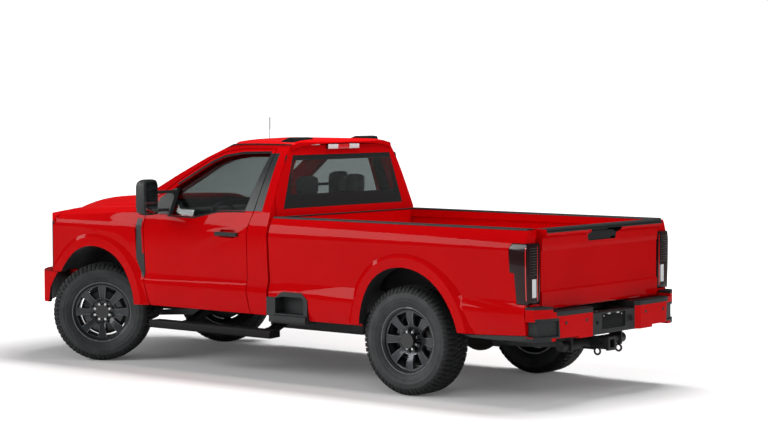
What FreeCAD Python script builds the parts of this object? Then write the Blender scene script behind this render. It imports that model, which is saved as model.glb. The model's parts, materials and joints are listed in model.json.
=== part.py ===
import FreeCAD, Part
import Sketcher
import math
import os
import re
from FreeCAD import Placement, Rotation, Vector

# Full-size regular-cab pickup truck, parked with its front wheels turned left.
# Millimetres. X forward, Y to the truck's left, Z up, ground at Z 0.
# The origin is the middle of the bounding box at ground level.

SIZES = {
    # overall and running gear
    "front_axle_x": 1974,
    "rear_axle_x": -1623,
    "wheel_height": 432,
    "front_track_half": 875,
    "rear_track_half": 853,
    "kingpin_y": 770,
    "steer_rest": 35.7,
    "tyre_radius": 432,
    "tyre_width": 275,
    "lug_count": 32,
    "lug_depth": 11,
    "shoulder": 18,
    "rim_lip_radius": 266,
    "rim_width": 222,
    "rim_wall": 12,
    "spoke_count": 8,
    "hub_radius": 78,
    "disc_radius": 180,
    "spindle_radius": 30,
    "disc_thick": 30,
    # frame
    "rail_outer_y": 440,
    "rail_width": 80,
    "rail_front_x": 2520,
    "rail_rear_x": -2690,
    "rail_mid_low": 480,
    "rail_mid_top": 680,
    "rail_axle_low": 620,
    "rail_axle_top": 770,
    "member_length": 90,
    "member_height": 90,
    "axle_tube_radius": 50,
    "knuckle_radius": 38,
    "knuckle_height": 170,
    "ear_thick": 26,
    "joint_gap": 6,
    "pin_radius": 14,
    "pin_play": 0.3,
    "arm_length": 165,
    "arm_drop": 80,
    "tie_rod_radius": 18,
    "spring_radius": 60,
    # body
    "half_width": 1000,
    "skin": 40,
    "panel_gap": 8,
    "skin_edge": 8,
    "door_step": 16,
    "hinge_x": 1192,
    "hinge_inset": 20,
    "hinge_low_z": 700,
    "hinge_high_z": 1130,
    "hinge_pin_radius": 5,
    "sill_low": 537,
    "floor_z": 700,
    "floor_thick": 25,
    "cab_rear_x": -167,
    "firewall_x": 1340,
    "wall": 30,
    "door_thick": 110,
    "roof_z": 1984,
    "roof_thick": 40,
    "glass": 6,
    "steering_x": 838,
    "steering_y": 380,
    "steering_z": 1240,
    "column_lean": 64,
    "bed_front_x": -194,
    "bed_rear_x": -2704,
    "bed_floor_z": 815,
    "bed_inner_y": 850,
    "rail_z": 1340,
    "cap_thick": 12,
    "tailgate_half": 815,
    "tailgate_low": 735,
    "tailgate_face_x": -2800,
    "tailgate_thick": 70,
    "tailgate_pivot_x": -2765,
    "tailgate_pivot_z": 777,
    "hood_hinge_x": 1440,
    "hood_hinge_z": 1385,
    "hood_half": 855,
    "step_inset": 120,
    "receiver_size": 90,
    "receiver_hole": 63.5,
    "receiver_z": 418,
    "receiver_x": -2901,
    "hitch_pin_bore": 16,
}

doc = FreeCAD.newDocument("pickup_truck")
sheet = doc.addObject("Spreadsheet::Sheet", "sizes")
for row, (alias, value) in enumerate(SIZES.items(), start=1):
    sheet.set(f"A{row}", alias)
    sheet.set(f"B{row}", str(value))
    sheet.setAlias(f"B{row}", alias)
doc.recompute()
size = {alias: float(getattr(sheet, alias)) for alias in SIZES}
NODES = []
FORMS = {}


class Sizes:
    def __getattr__(self, name):
        return size[name]


d = Sizes()
WORD = re.compile(r"[a-z][a-z0-9_]+")


def link(text):
    """Turn an expression in plain aliases into one that points at the sheet."""
    return WORD.sub(lambda m: "sizes." + m.group(0) if m.group(0) in size else m.group(0), str(text))


def bind(item, **sizes):
    for path, text in sizes.items():
        item.setExpression(path.replace("_at_", ".Base."), link(text))
    return item


def place(item, x, y, z):
    item.setExpression("Placement.Base.x", link(x))
    item.setExpression("Placement.Base.y", link(y))
    item.setExpression("Placement.Base.z", link(z))
    return item


def node(item, label):
    item.Label = label
    NODES.append(item)
    return item


def box(name, x, y, z, length, width, height):
    """A box by its low corner and its three sides, each an expression."""
    item = doc.addObject("Part::Box", name)
    bind(item, Length=length, Width=width, Height=height)
    return place(item, x, y, z)


TURNS = {
    "x": Rotation(Vector(0, 1, 0), 90),
    "y": Rotation(Vector(1, 0, 0), -90),
    "z": Rotation(),
}


def cylinder(name, axis, x, y, z, radius, height):
    """A cylinder that starts at x, y, z and runs along +axis."""
    item = doc.addObject("Part::Cylinder", name)
    bind(item, Radius=radius, Height=height)
    item.Placement = Placement(Vector(), TURNS[axis])
    return place(item, x, y, z)


def fuse(name, items):
    whole = doc.addObject("Part::MultiFuse", name)
    whole.Shapes = items
    return whole


def cut(name, base, tool):
    whole = doc.addObject("Part::Cut", name)
    whole.Base = base
    whole.Tool = tool
    return whole


def group(name, items):
    """Solids of one sub-part that don't touch each other."""
    whole = doc.addObject("Part::Compound", name)
    whole.Links = items
    return whole


def shaped(name, shape):
    """A form that neither features nor primitives fit."""
    item = doc.addObject("Part::Feature", name)
    item.Shape = shape
    return item


def origin_plane(body, role):
    return next(f for f in body.Origin.OriginFeatures if f.Role == role)


def number(text):
    """The value of an expression in aliases, read from the sheet."""
    return float(sheet.evalExpression(link(text).replace("sizes.", "")))


def outline_sketch(body, name, role, corners):
    """A closed outline whose corners are all bound to the sheet."""
    sketch = body.newObject("Sketcher::SketchObject", name)
    sketch.AttachmentSupport = [(origin_plane(body, role), "")]
    sketch.MapMode = "FlatFace"
    doc.recompute()
    spots = [(number(x), number(y)) for x, y in corners]
    count = len(corners)
    for i, spot in enumerate(spots):
        sketch.addGeometry(Part.LineSegment(Vector(*spot, 0), Vector(*spots[(i + 1) % count], 0)), False)
    for i in range(count):
        sketch.addConstraint(Sketcher.Constraint("Coincident", i, 2, (i + 1) % count, 1))
    for i, spot in enumerate(spots):
        for kind, value, text in (("DistanceX", spot[0], corners[i][0]), ("DistanceY", spot[1], corners[i][1])):
            index = sketch.addConstraint(Sketcher.Constraint(kind, -1, 1, i, 1, value))
            sketch.setExpression(f"Constraints[{index}]", link(text))
    return sketch


def pad_body(name, role, corners, length, shift=("0", "0", "0")):
    """A PartDesign body: one outline padded evenly about its plane, then shifted."""
    body = doc.addObject("PartDesign::Body", name)
    sketch = outline_sketch(body, name + "_outline", role, corners)
    pad = body.newObject("PartDesign::Pad", name + "_pad")
    pad.Profile = sketch
    pad.Midplane = True
    bind(pad, Length=length)
    place(body, *shift)
    return body


def flat(axis, points):
    """A wire of straight edges: (x, z) corners on axis y, (y, z) on x, (x, y) on z."""
    if axis == "y":
        spots = [Vector(a, 0, b) for a, b in points]
    elif axis == "x":
        spots = [Vector(0, a, b) for a, b in points]
    else:
        spots = [Vector(a, b, 0) for a, b in points]
    return Part.makePolygon(spots + spots[:1])


def prism(axis, points, low, high):
    """A straight prism of an outline between two places on its axis."""
    way = {"x": Vector(1, 0, 0), "y": Vector(0, 1, 0), "z": Vector(0, 0, 1)}[axis]
    solid = Part.Face(flat(axis, points)).extrude(way * (high - low))
    solid.translate(way * low)
    return solid


def block(x0, x1, y0, y1, z0, z1):
    return Part.makeBox(x1 - x0, y1 - y0, z1 - z0, Vector(x0, y0, z0))


def rod(start, end, radius):
    a, b = Vector(*start), Vector(*end)
    return Part.makeCylinder(radius, (b - a).Length, a, b - a)


def mirrored(shape):
    """The same form on the truck's other side."""
    return shape.mirror(Vector(), Vector(0, 1, 0))


def both_sides(shape):
    return Part.Compound([shape, mirrored(shape)])


def drum(x, z, radius, y0, y1):
    return Part.makeCylinder(radius, y1 - y0, Vector(x, y0, z), Vector(0, 1, 0))


# Frame and running gear

def make_frame():
    mid = "rail_outer_y - rail_width / 2"
    corners = [
        ("rail_rear_x", "rail_axle_low"), ("-950", "rail_axle_low"), ("-560", "rail_mid_low"),
        ("1200", "rail_mid_low"), ("1500", "rail_axle_low"), ("rail_front_x", "rail_axle_low"),
        ("rail_front_x", "rail_axle_top - 30"), ("1640", "rail_axle_top - 30"), ("1380", "rail_mid_top"),
        ("-620", "rail_mid_top"), ("-900", "rail_axle_top"), ("rail_rear_x", "rail_axle_top"),
    ]
    rails = [
        pad_body("rail_left", "XZ_Plane", corners, "rail_width", ("0", mid, "0")),
        pad_body("rail_right", "XZ_Plane", corners, "rail_width", ("0", "-(" + mid + ")", "0")),
    ]
    node(group("frame_rails_pair", rails), "frame_rails")
    inner = "rail_outer_y - rail_width"
    members = []
    for index, (x, z) in enumerate((
            ("2340", "rail_axle_low + 20"), ("430", "rail_mid_low + 80"), ("-790", "rail_mid_low + 100"),
            ("-1100", "rail_axle_low + 30"), ("-1500", "rail_axle_low + 50"), ("-2580", "rail_axle_low + 30"))):
        members.append(box(f"member_{index}", x, f"-({inner})", z, "member_length", f"2 * ({inner})",
                           "member_height"))
    node(group("frame_members", members), "frame_crossmembers")


def make_front_axle():
    gap = "joint_gap"
    tube = cylinder("front_tube", "y", "front_axle_x", "-(kingpin_y - 60)", "wheel_height",
                    "axle_tube_radius - 6", "2 * (kingpin_y - 60)")
    parts = [tube]
    for side in (1, -1):
        tag = "left" if side > 0 else "right"
        plate_y = "kingpin_y - 82" if side > 0 else "-(kingpin_y - 82) - 22"
        half = "(knuckle_height / 2 + joint_gap + ear_thick)"
        parts.append(box(f"yoke_{tag}", "front_axle_x - 42", plate_y, f"wheel_height - {half}",
                         "84", "22", f"2 * {half}"))
        for end, z in (("top", "wheel_height + knuckle_height / 2 + " + gap),
                       ("low", "wheel_height - knuckle_height / 2 - ear_thick - " + gap)):
            ear_y = "kingpin_y - 70" if side > 0 else "-kingpin_y"
            bar = box(f"ear_bar_{tag}_{end}", "front_axle_x - 34", ear_y, z, "68", "70", "ear_thick")
            ring = cylinder(f"ear_ring_{tag}_{end}", "z", "front_axle_x", f"{side} * kingpin_y", z, "34",
                            "ear_thick")
            hole = cylinder(f"ear_hole_{tag}_{end}", "z", "front_axle_x", f"{side} * kingpin_y", z,
                            "pin_radius + pin_play", "ear_thick")
            parts.append(cut(f"ear_{tag}_{end}", fuse(f"ear_solid_{tag}_{end}", [bar, ring]), hole))
    ball = doc.addObject("Part::Sphere", "front_differential")
    bind(ball, Radius="132")
    place(ball, "front_axle_x", "230", "wheel_height")
    parts.append(ball)
    beam = fuse("front_axle_beam", parts)
    doc.recompute()
    FORMS["front_axle"] = beam.Shape
    node(beam, "front_axle")


def make_rear_axle():
    tube = cylinder("rear_tube", "y", "rear_axle_x", "-(rear_track_half - 128)", "wheel_height",
                    "axle_tube_radius", "2 * (rear_track_half - 128)")
    ball = doc.addObject("Part::Sphere", "rear_differential")
    bind(ball, Radius="165")
    place(ball, "rear_axle_x", "0", "wheel_height")
    cover = cylinder("differential_cover", "x", "rear_axle_x - 190", "0", "wheel_height", "120", "120")
    spindle = cylinder("rear_spindles", "y", "rear_axle_x", "-(rear_track_half - joint_gap)", "wheel_height",
                       "spindle_radius", "2 * (rear_track_half - joint_gap)")
    parts = [tube, ball, cover, spindle]
    for side in (1, -1):
        tag = "left" if side > 0 else "right"
        y = "rail_outer_y + 10" if side > 0 else "-(rail_outer_y + 10) - 76"
        parts.append(box(f"spring_seat_{tag}", "rear_axle_x - 70", y, "wheel_height", "140", "76",
                         "axle_tube_radius + 14"))
    beam = fuse("rear_axle_beam", parts)
    doc.recompute()
    FORMS["rear_axle"] = beam.Shape
    node(beam, "rear_axle")


def leaf_pack(y):
    """Four stacked leaves in a shallow bow, with an eye at each end."""
    seat = d.wheel_height + d.axle_tube_radius + 14
    x = d.rear_axle_x
    leaf = 11
    front, rear = x + 680, x - 760
    rise = 95
    low = Part.Arc(Vector(front, 0, seat + rise), Vector(x, 0, seat + 3 * leaf),
                   Vector(rear, 0, seat + rise)).toShape()
    top = Part.Arc(Vector(front, 0, seat + rise + leaf), Vector(x, 0, seat + 4 * leaf),
                   Vector(rear, 0, seat + rise + leaf)).toShape()
    ends = [Part.makeLine(Vector(front, 0, seat + rise), Vector(front, 0, seat + rise + leaf)),
            Part.makeLine(Vector(rear, 0, seat + rise), Vector(rear, 0, seat + rise + leaf))]
    solid = Part.Face(Part.Wire([low, ends[1], top, ends[0]])).extrude(Vector(0, 62, 0))
    for reach, step in ((520, 0), (380, 1), (240, 2)):
        solid = solid.fuse(prism("y", [(x - reach, seat + 40 + reach * 0.05), (x - 90, seat + step * leaf),
                                       (x + 90, seat + step * leaf), (x + reach, seat + 40 + reach * 0.05)], 0,
                                       62))
    for end in (front, rear):
        solid = solid.fuse(drum(end, seat + rise + 8, 26, 0, 62))
    solid.translate(Vector(0, y, 0))
    return solid


def make_suspension():
    parts = []
    hang = d.rail_outer_y
    leaf_y = hang + 17
    axle_top = d.wheel_height + d.axle_tube_radius
    for side in (1, -1):
        pieces = []
        leaves = leaf_pack(leaf_y)
        front_eye, rear_eye = d.rear_axle_x + 680, d.rear_axle_x - 760
        eye_z = axle_top + 14 + 95 + 8
        for eye in (front_eye, rear_eye):
            bracket = prism("y", [(eye - 40, d.rail_axle_top - 20), (eye - 24, eye_z), (eye + 24, eye_z),
                                  (eye + 40, d.rail_axle_top - 20)], hang, hang + 16)
            leaves = leaves.fuse(bracket).fuse(drum(eye, eye_z, 12, hang, hang + 79))
        pieces.append(leaves)
        coil_x, coil_y = d.front_axle_x, hang + 75
        low, high = axle_top - 14, d.rail_axle_top - 30
        coil = Part.makeCylinder(d.spring_radius - 18, high - low - 20, Vector(coil_x, coil_y, low + 4))
        turns = 6
        pitch = (high - low - 44) / (turns - 1)
        for turn in range(turns):
            z = low + 16 + turn * pitch
            coil = coil.fuse(Part.makeCylinder(d.spring_radius, pitch * 0.45, Vector(coil_x, coil_y, z)))
        seat = block(coil_x - 40, coil_x + 40, coil_y - 40, coil_y + 40, low - 6, low + 6)
        tower = block(coil_x - 75, coil_x + 75, hang, coil_y + 65, high - 22, high)
        pieces.append(coil.fuse(seat).fuse(tower))
        arm = prism("y", [(d.front_axle_x - 20, d.wheel_height - 78),
                          (d.front_axle_x - 20, d.wheel_height - 36),
                          (1180, 470), (1080, d.rail_mid_low - 6), (1080, 420)], hang - 62, hang - 16)
        bracket = block(1080, 1150, hang - 70, hang - 10, 440, d.rail_mid_low)
        pieces.append(arm.fuse(bracket))
        damper = rod((d.front_axle_x - 120, hang + 40, d.wheel_height - 10),
                     (d.front_axle_x - 175, hang + 45, d.rail_axle_top - 70), 27)
        stud = rod((d.front_axle_x - 175, hang, d.rail_axle_top - 85),
                   (d.front_axle_x - 175, hang + 60, d.rail_axle_top - 85), 12)
        foot = block(d.front_axle_x - 140, d.front_axle_x - 30, hang + 20, hang + 60, d.wheel_height - 25,
                     d.wheel_height + 5)
        pieces.append(damper.fuse(stud).fuse(foot))
        rear_damper = rod((d.rear_axle_x + 90, 300, d.wheel_height + 5),
                          (d.rear_axle_x + 160, 300, d.rail_axle_low + 40), 28)
        rear_foot = block(d.rear_axle_x + 30, d.rear_axle_x + 120, 280, 320, d.wheel_height - 15,
                          d.wheel_height + 15)
        pieces.append(rear_damper.fuse(rear_foot))
        for piece in pieces:
            piece = piece if side > 0 else mirrored(piece)
            parts.append(piece.cut(FORMS["front_axle"]).cut(FORMS["rear_axle"]))
    node(shaped("suspension_parts", Part.Compound(parts)), "suspension")


def make_driveline():
    case = prism("y", [(1395, 500), (1395, 675), (1000, 660), (640, 620), (560, 590), (560, 440), (1000, 400),
                       (1250, 420)], -150, 150)
    transfer = prism("x", [(60, 410), (240, 430), (240, 560), (60, 600)], 620, 800)
    case = case.fuse(transfer)
    rear = rod((d.rear_axle_x + 160, 0, d.wheel_height + 10), (562, 0, 500), 46)
    front = rod((d.front_axle_x - 125, 205, d.wheel_height + 5), (798, 205, 480), 32)
    rear = rear.cut(FORMS["rear_axle"])
    front = front.cut(FORMS["front_axle"]).cut(case)
    node(shaped("driveline_parts", Part.Compound([case, rear, front])), "driveline")


def make_engine():
    engine = box("engine", "1395.3", "-285", "600", "740", "570", "600")
    node(engine, "engine_block")


def make_exhaust():
    muffler = doc.addObject("Part::Cylinder", "muffler")
    bind(muffler, Radius="88", Height="640")
    muffler.Placement = Placement(Vector(), TURNS["x"])
    place(muffler, "-900", "-250", "rail_mid_low - 70")
    route = [Vector(1300, -330, 430), Vector(900, -250, 410), Vector(-260, -250, 410)]
    pipe = rod(route[0], route[1], 32).fuse(Part.makeSphere(32, route[1])).fuse(rod(route[1], route[2], 32))
    tail = [Vector(-900, -250, 410), Vector(-1180, -230, 540), Vector(-1730, -230, 593.7),
            Vector(-1800, -330, 593.7),
            Vector(-1800, -570, 593.7), Vector(-1860, -610, 585), Vector(-2120, -610, 540),
            Vector(-2330, -770, 480)]
    back = rod(tail[0], tail[1], 26)
    for start, end in zip(tail[1:], tail[2:]):
        back = back.fuse(Part.makeSphere(26, start)).fuse(rod(start, end, 26))
    pipes = shaped("exhaust_pipes", pipe.fuse(back))
    node(fuse("exhaust_whole", [muffler, pipes]), "exhaust")


def make_tank():
    tank = box("tank", "-680", "85", "352", "1060", "rail_outer_y - rail_width - 85.3", "300")
    edges = doc.addObject("Part::Fillet", "tank_rounded")
    edges.Base = tank
    doc.recompute()
    edges.Edges = [(i, 34.0, 34.0) for i in range(1, 13)]
    node(edges, "fuel_tank")


def make_spare():
    """Spare wheel slung flat under the bed on its hoist: tyre of flats, steel disc, plate, stem and beam."""
    x, z = -2245, d.rail_axle_low - 128

    def flats(radius):
        return [(x + across, along) for across, along in rim_of_flats(radius)]
    rings = [[Vector(a, b, z + up) for a, b in flats(radius)] for up, radius in (
        (-120, 262), (-105, 385), (-80, 402), (80, 402), (105, 385), (120, 262))]
    tyre = flat_sided(rings).cut(prism("z", flats(230), z - 130, z + 130))
    disc = prism("z", flats(232), z - 60, z - 30).cut(prism("z", flats(118), z - 65, z - 25))
    plate = prism("z", flats(122), z - 66, z - 50)
    stem = prism("z", flats(14), z - 66, z + 166)
    beam = block(-2489.7, x + 20, -20, 20, d.rail_axle_low + 30, d.rail_axle_low + 60)
    node(shaped("spare_form", tyre.fuse([disc, plate, stem, beam])), "spare_wheel")


def make_running_boards():
    """Ribbed side steps, each hung from its frame rail by three brackets."""
    outer = d.half_width - 4
    board = prism("x", [(866, 352), (outer - 12, 345), (outer, 360), (outer, 392), (outer - 14, 410),
                        (866, 410)],
                  -200, 1204)
    for x in (-60, 420, 900):
        board = board.fuse(prism("x", [(d.rail_outer_y, 560), (d.rail_outer_y, 492), (760, 360), (868, 352),
                                       (868, 400), (775, 410)], x, x + 70))
    rib_count = 5
    for index in range(rib_count):
        y = 885 + index * 20
        board = board.cut(block(-170, 1174, y, y + 9, 404, 420))
    node(shaped("running_board_pair", both_sides(board)), "running_boards")


def make_hitch():
    x, size_, z = d.receiver_x, d.receiver_size, d.receiver_z
    length = 230
    tube = block(x, x + length, -size_ / 2, size_ / 2, z - size_ / 2, z + size_ / 2)
    tube = tube.fuse(block(x, x + 24, -size_ / 2 - 10, size_ / 2 + 10, z - size_ / 2 - 8, z + size_ / 2 + 8))
    tube = tube.fuse(rod((x + length - 36, -d.rail_outer_y + 2, z), (x + length - 36, d.rail_outer_y - 2, z),
                         40))
    hole = d.receiver_hole
    tube = tube.cut(block(x - 1, x + length - 80, -hole / 2, hole / 2, z - hole / 2, z + hole / 2))
    tube = tube.cut(rod((x + 75, -60, z), (x + 75, 60, z), d.hitch_pin_bore / 2))
    for side in (1, -1):
        inner = d.rail_outer_y - d.rail_width
        y0 = inner - 16 if side > 0 else -inner
        tube = tube.fuse(prism("y", [(x + length - 90, z - 45), (x + length + 10, z - 45),
                                     (x + length + 70, d.rail_axle_low + 60),
                                     (x + length - 90, d.rail_axle_low + 60)], y0, y0 + 16))
        loop = Part.makeTorus(26, 8, Vector(x + 40, side * 150, z - 48), Vector(0, 1, 0))
        stem = rod((x + 58, side * 150, z - 30), (x + length - 50, side * 150, z - 30), 9)
        tube = tube.fuse(loop).fuse(stem)
    node(shaped("receiver_frame", tube), "hitch_receiver")


# Knuckles, tie rod and wheels

def steered(shape, side):
    """Turn a form about its kingpin from straight ahead to the parked angle."""
    shape.rotate(Vector(d.front_axle_x, side * d.kingpin_y, 0), Vector(0, 0, 1), d.steer_rest)
    return shape


def make_knuckles():
    """Each knuckle fills the axle's yoke, carries the spindle and has an arm to the tie rod."""
    x, z = d.front_axle_x, d.wheel_height
    half = d.knuckle_height / 2
    reach = half + d.joint_gap + d.ear_thick
    for side, tag in ((1, "left"), (-1, "right")):
        y = side * d.kingpin_y
        body = Part.makeCylinder(d.knuckle_radius, 2 * half, Vector(x, y, z - half))
        body = body.fuse(Part.makeCylinder(d.pin_radius, 2 * reach, Vector(x, y, z - reach)))
        hub_face = side * (d.front_track_half - d.joint_gap)
        body = body.fuse(rod((x, y, z), (x, hub_face, z), d.spindle_radius))
        arm_z = z - d.arm_drop
        arm = block(x, x + d.arm_length, y - 16, y + 16, arm_z, arm_z + 22)
        arm = arm.fuse(Part.makeCylinder(24, 22, Vector(x + d.arm_length, y, arm_z)))
        arm = arm.cut(Part.makeCylinder(9.3, 40, Vector(x + d.arm_length, y, arm_z - 9)))
        node(shaped(f"knuckle_form_{tag}", steered(body.fuse(arm), side)), f"knuckle_{tag}")


def tie_rod_end(side):
    spot = Vector(d.front_axle_x + d.arm_length, side * d.kingpin_y, 0)
    turn = Rotation(Vector(0, 0, 1), d.steer_rest)
    pin = Vector(d.front_axle_x, side * d.kingpin_y, 0)
    return pin + turn.multVec(spot - pin)


def make_tie_rod():
    z = d.wheel_height - d.arm_drop - d.joint_gap - 16
    left, right = tie_rod_end(1), tie_rod_end(-1)
    bar = rod((left.x, left.y, z), (right.x, right.y, z), d.tie_rod_radius - 4)
    for spot in (left, right):
        bar = bar.fuse(Part.makeCylinder(22, 30, Vector(spot.x, spot.y, z - 15)))
        bar = bar.fuse(Part.makeCylinder(9, d.joint_gap + 30, Vector(spot.x, spot.y, z)))
    node(shaped("tie_rod_form", bar), "tie_rod")


def ring(corners, centre_x):
    """Turn an outline of (radius, y) corners about the wheel's axle."""
    points = [Vector(centre_x, y, d.wheel_height + radius) for radius, y in corners]
    face = Part.Face(Part.makePolygon(points + points[:1]))
    return face.revolve(Vector(centre_x, 0, d.wheel_height), Vector(0, 1, 0), 360)


def rim_form(centre_x, centre_y, rear):
    """Pressed rim: a barrel with both lips, eight broad flat spokes and a centre."""
    half = d.rim_width / 2
    lip, wall = d.rim_lip_radius, d.rim_wall
    outer = [(lip, half), (lip, half - 14), (lip - 14, half - 20), (lip - 18, half - 60), (lip - 34, half - 80),
             (lip - 34, -half + 50), (lip - 14, -half + 20), (lip, -half + 14), (lip, -half),
             (lip - wall, -half), (lip - wall - 14, -half + 14), (lip - wall - 34, -half + 50),
             (lip - wall - 34, half - 86), (lip - wall - 18, half - 58), (lip - wall - 14, half - 14),
             (lip - wall, half)]
    barrel = ring([(r, centre_y + y) for r, y in outer], centre_x)
    face_y = half - 30
    dish = ring([(40, centre_y + face_y - 52), (112, centre_y + face_y - 46),
                 (lip - 26, centre_y + face_y - 14),
                 (lip - 26, centre_y + face_y), (180, centre_y + face_y - 2), (112, centre_y + face_y - 22),
                 (90, centre_y + face_y - 34), (40, centre_y + face_y - 34)], centre_x)
    window = []
    inner_r, outer_r = 122, lip - 38
    share = 360 / d.spoke_count
    for index in range(int(d.spoke_count)):
        middle = math.radians(share * (index + 0.5))
        half_in, half_out = math.radians(share * 0.22), math.radians(share * 0.3)
        spots = []
        for radius, turn in ((inner_r, -half_in), (outer_r, -half_out), (outer_r, half_out),
                             (inner_r, half_in)):
            spots.append((centre_x + radius * math.cos(middle + turn),
                          d.wheel_height + radius * math.sin(middle + turn)))
        window.append(prism("y", spots, centre_y - half, centre_y + half + 5))
    dish = dish.cut(Part.Compound(window))
    cap_out = face_y + 34 if rear else face_y - 6
    cap = drum(centre_x, d.wheel_height, 62, centre_y + face_y - 62, centre_y + cap_out)
    nuts = []
    for index in range(8):
        turn = math.radians(45 * index + 22.5)
        nuts.append(drum(centre_x + 82 * math.cos(turn), d.wheel_height + 82 * math.sin(turn), 13,
                         centre_y + face_y - 40, centre_y + face_y - 8))
    disc = drum(centre_x, d.wheel_height, d.disc_radius, centre_y - 8, centre_y + d.disc_thick - 8)
    hat = drum(centre_x, d.wheel_height, d.hub_radius, centre_y - 8, centre_y + face_y - 44)
    back = drum(centre_x, d.wheel_height, d.spindle_radius + 16, centre_y - 56, centre_y)
    bore = drum(centre_x, d.wheel_height, d.spindle_radius + d.pin_play, centre_y - 57, centre_y - 4)
    return barrel.fuse([dish, cap, disc, hat, back] + nuts).cut(bore)


def rim_of_flats(radius):
    """Corners of a regular outline with one flat for each lug; the flats touch the given radius."""
    share = 2 * math.pi / int(d.lug_count)
    corner = radius / math.cos(share / 2)
    spots = []
    for index in range(int(d.lug_count)):
        angle = share * (index + 0.5) - math.pi / 2
        spots.append((corner * math.cos(angle), corner * math.sin(angle)))
    return spots


def flat_sided(rings):
    """A solid with flat faces between rings that have one corner each for every corner of the next."""
    faces = [Part.Face(Part.makePolygon(ring + ring[:1])) for ring in (rings[0], rings[-1])]
    for one, other in zip(rings, rings[1:]):
        for index in range(len(one)):
            after = (index + 1) % len(one)
            corners = [one[index], one[after], other[after], other[index]]
            faces.append(Part.Face(Part.makePolygon(corners + corners[:1])))
    solid = Part.makeSolid(Part.makeShell(faces))
    if solid.Volume < 0:
        solid.reverse()
    return solid


def lug_outline():
    """Toothed outline of the tread: a flat lug and a groove at each pitch, one lug straight down."""
    share = 2 * math.pi / int(d.lug_count)
    half_lug = share * 0.3
    top = d.tyre_radius / math.cos(half_lug)
    floor = d.tyre_radius - d.lug_depth
    spots = []
    for index in range(int(d.lug_count)):
        middle = share * index - math.pi / 2
        for angle, radius in ((middle - half_lug, top), (middle + half_lug, top),
                              (middle + half_lug * 1.2, floor), (middle + share - half_lug * 1.2, floor)):
            spots.append((radius * math.cos(angle), radius * math.sin(angle)))
    return spots


def tyre_form(centre_x, centre_y):
    """All-terrain tyre: carcass of flats, one to each lug, under a toothed tread, open for the rim."""
    half = d.tyre_width / 2
    base = d.tyre_radius - d.lug_depth - 5
    bead_y = d.rim_width / 2
    rings = [(-bead_y - 1, d.rim_lip_radius + 8), (-half, 345), (-half + d.shoulder, base),
             (half - d.shoulder, base), (half, 345), (bead_y + 1, d.rim_lip_radius + 8)]
    carcass = flat_sided([[Vector(centre_x + across, centre_y + y, d.wheel_height + up)
                           for across, up in rim_of_flats(radius)] for y, radius in rings])
    spots = [(centre_x + across, d.wheel_height + up) for across, up in lug_outline()]
    tread = prism("y", spots, centre_y - half + d.shoulder, centre_y + half - d.shoulder)
    opening = prism("y", [(centre_x + across, d.wheel_height + up) for across,
                          up in rim_of_flats(d.rim_lip_radius + 0.2)],
                    centre_y - half - 1, centre_y + half + 1)
    return carcass.fuse(tread).cut(opening)


def make_wheels():
    for tag, x, y, side, steer in (("front_left", d.front_axle_x, d.front_track_half, 1, True),
                                   ("front_right", d.front_axle_x, d.front_track_half, -1, True),
                                   ("rear_left", d.rear_axle_x, d.rear_track_half, 1, False),
                                   ("rear_right", d.rear_axle_x, d.rear_track_half, -1, False)):
        rim = rim_form(x, y, not steer)
        tyre = tyre_form(x, y)
        for form, kind in ((rim, "rim"), (tyre, "tyre")):
            if side < 0:
                form = mirrored(form)
            if steer:
                form = steered(form, side)
            node(shaped(f"{kind}_form_{tag}", form), f"{kind}_{tag}")


# Body forms shared by the cab, doors, fenders and bed

SIDE = [(-35, 537), (-15, 600), (0, 730), (-25, 818), (0, 1195), (-26, 1300), (-48, 1376)]
UPPER = [(-48, 1376), (-180, 1659), (-295, 1861), (-345, 1930)]


def side_edges(inset):
    """The outside of the cab's flank, sill to roof gutter, moved inboard by inset."""
    lower = [Vector(0, d.half_width + dy - inset, z) for dy, z in SIDE]
    upper = [Vector(0, d.half_width + dy - inset, z) for dy, z in UPPER]
    edges = [Part.makeLine(a, b) for a, b in zip(lower, lower[1:])]
    curve = Part.BSplineCurve()
    curve.interpolate(upper)
    edges.append(curve.toShape())
    return edges, lower[0], upper[-1]


def flank(outer_inset, inner_inset, x0, x1):
    """A slab that follows the flank between two insets, from x0 to x1."""
    outer, low_out, top_out = side_edges(outer_inset)
    inner, low_in, top_in = side_edges(inner_inset)
    wire = Part.Wire(outer + [Part.makeLine(top_out, top_in)] + list(reversed(inner)) + [Part.makeLine(low_in,
            low_out)])
    solid = Part.Face(wire).extrude(Vector(x1 - x0, 0, 0))
    solid.translate(Vector(x0, 0, 0))
    return solid


def cut_out(points):
    return prism("y", points, 300, 1300)


DOOR = [(1212, 537), (1262, 759), (1262, 1310), (1215, 1440), (985, 1612), (680, 1812), (548, 1868),
        (356, 1893),
        (-3, 1896), (21, 1380), (55, 1267), (70, 783), (40, 537)]
WINDOW = [(1000, 1328), (1000, 1556), (973, 1579), (665, 1772), (543, 1823), (356, 1853), (40, 1862),
          (118, 1392),
          (420, 1380), (690, 1322)]


def grown(points, amount):
    """The same outline, larger all round by an amount."""
    wire = Part.makePolygon([Vector(x, 0, z) for x, z in points + points[:1]])
    bigger = wire.makeOffset2D(amount, 2)
    solid = Part.Face(bigger).extrude(Vector(0, 1000, 0))
    solid.translate(Vector(0, 300, 0))
    return solid


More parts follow.
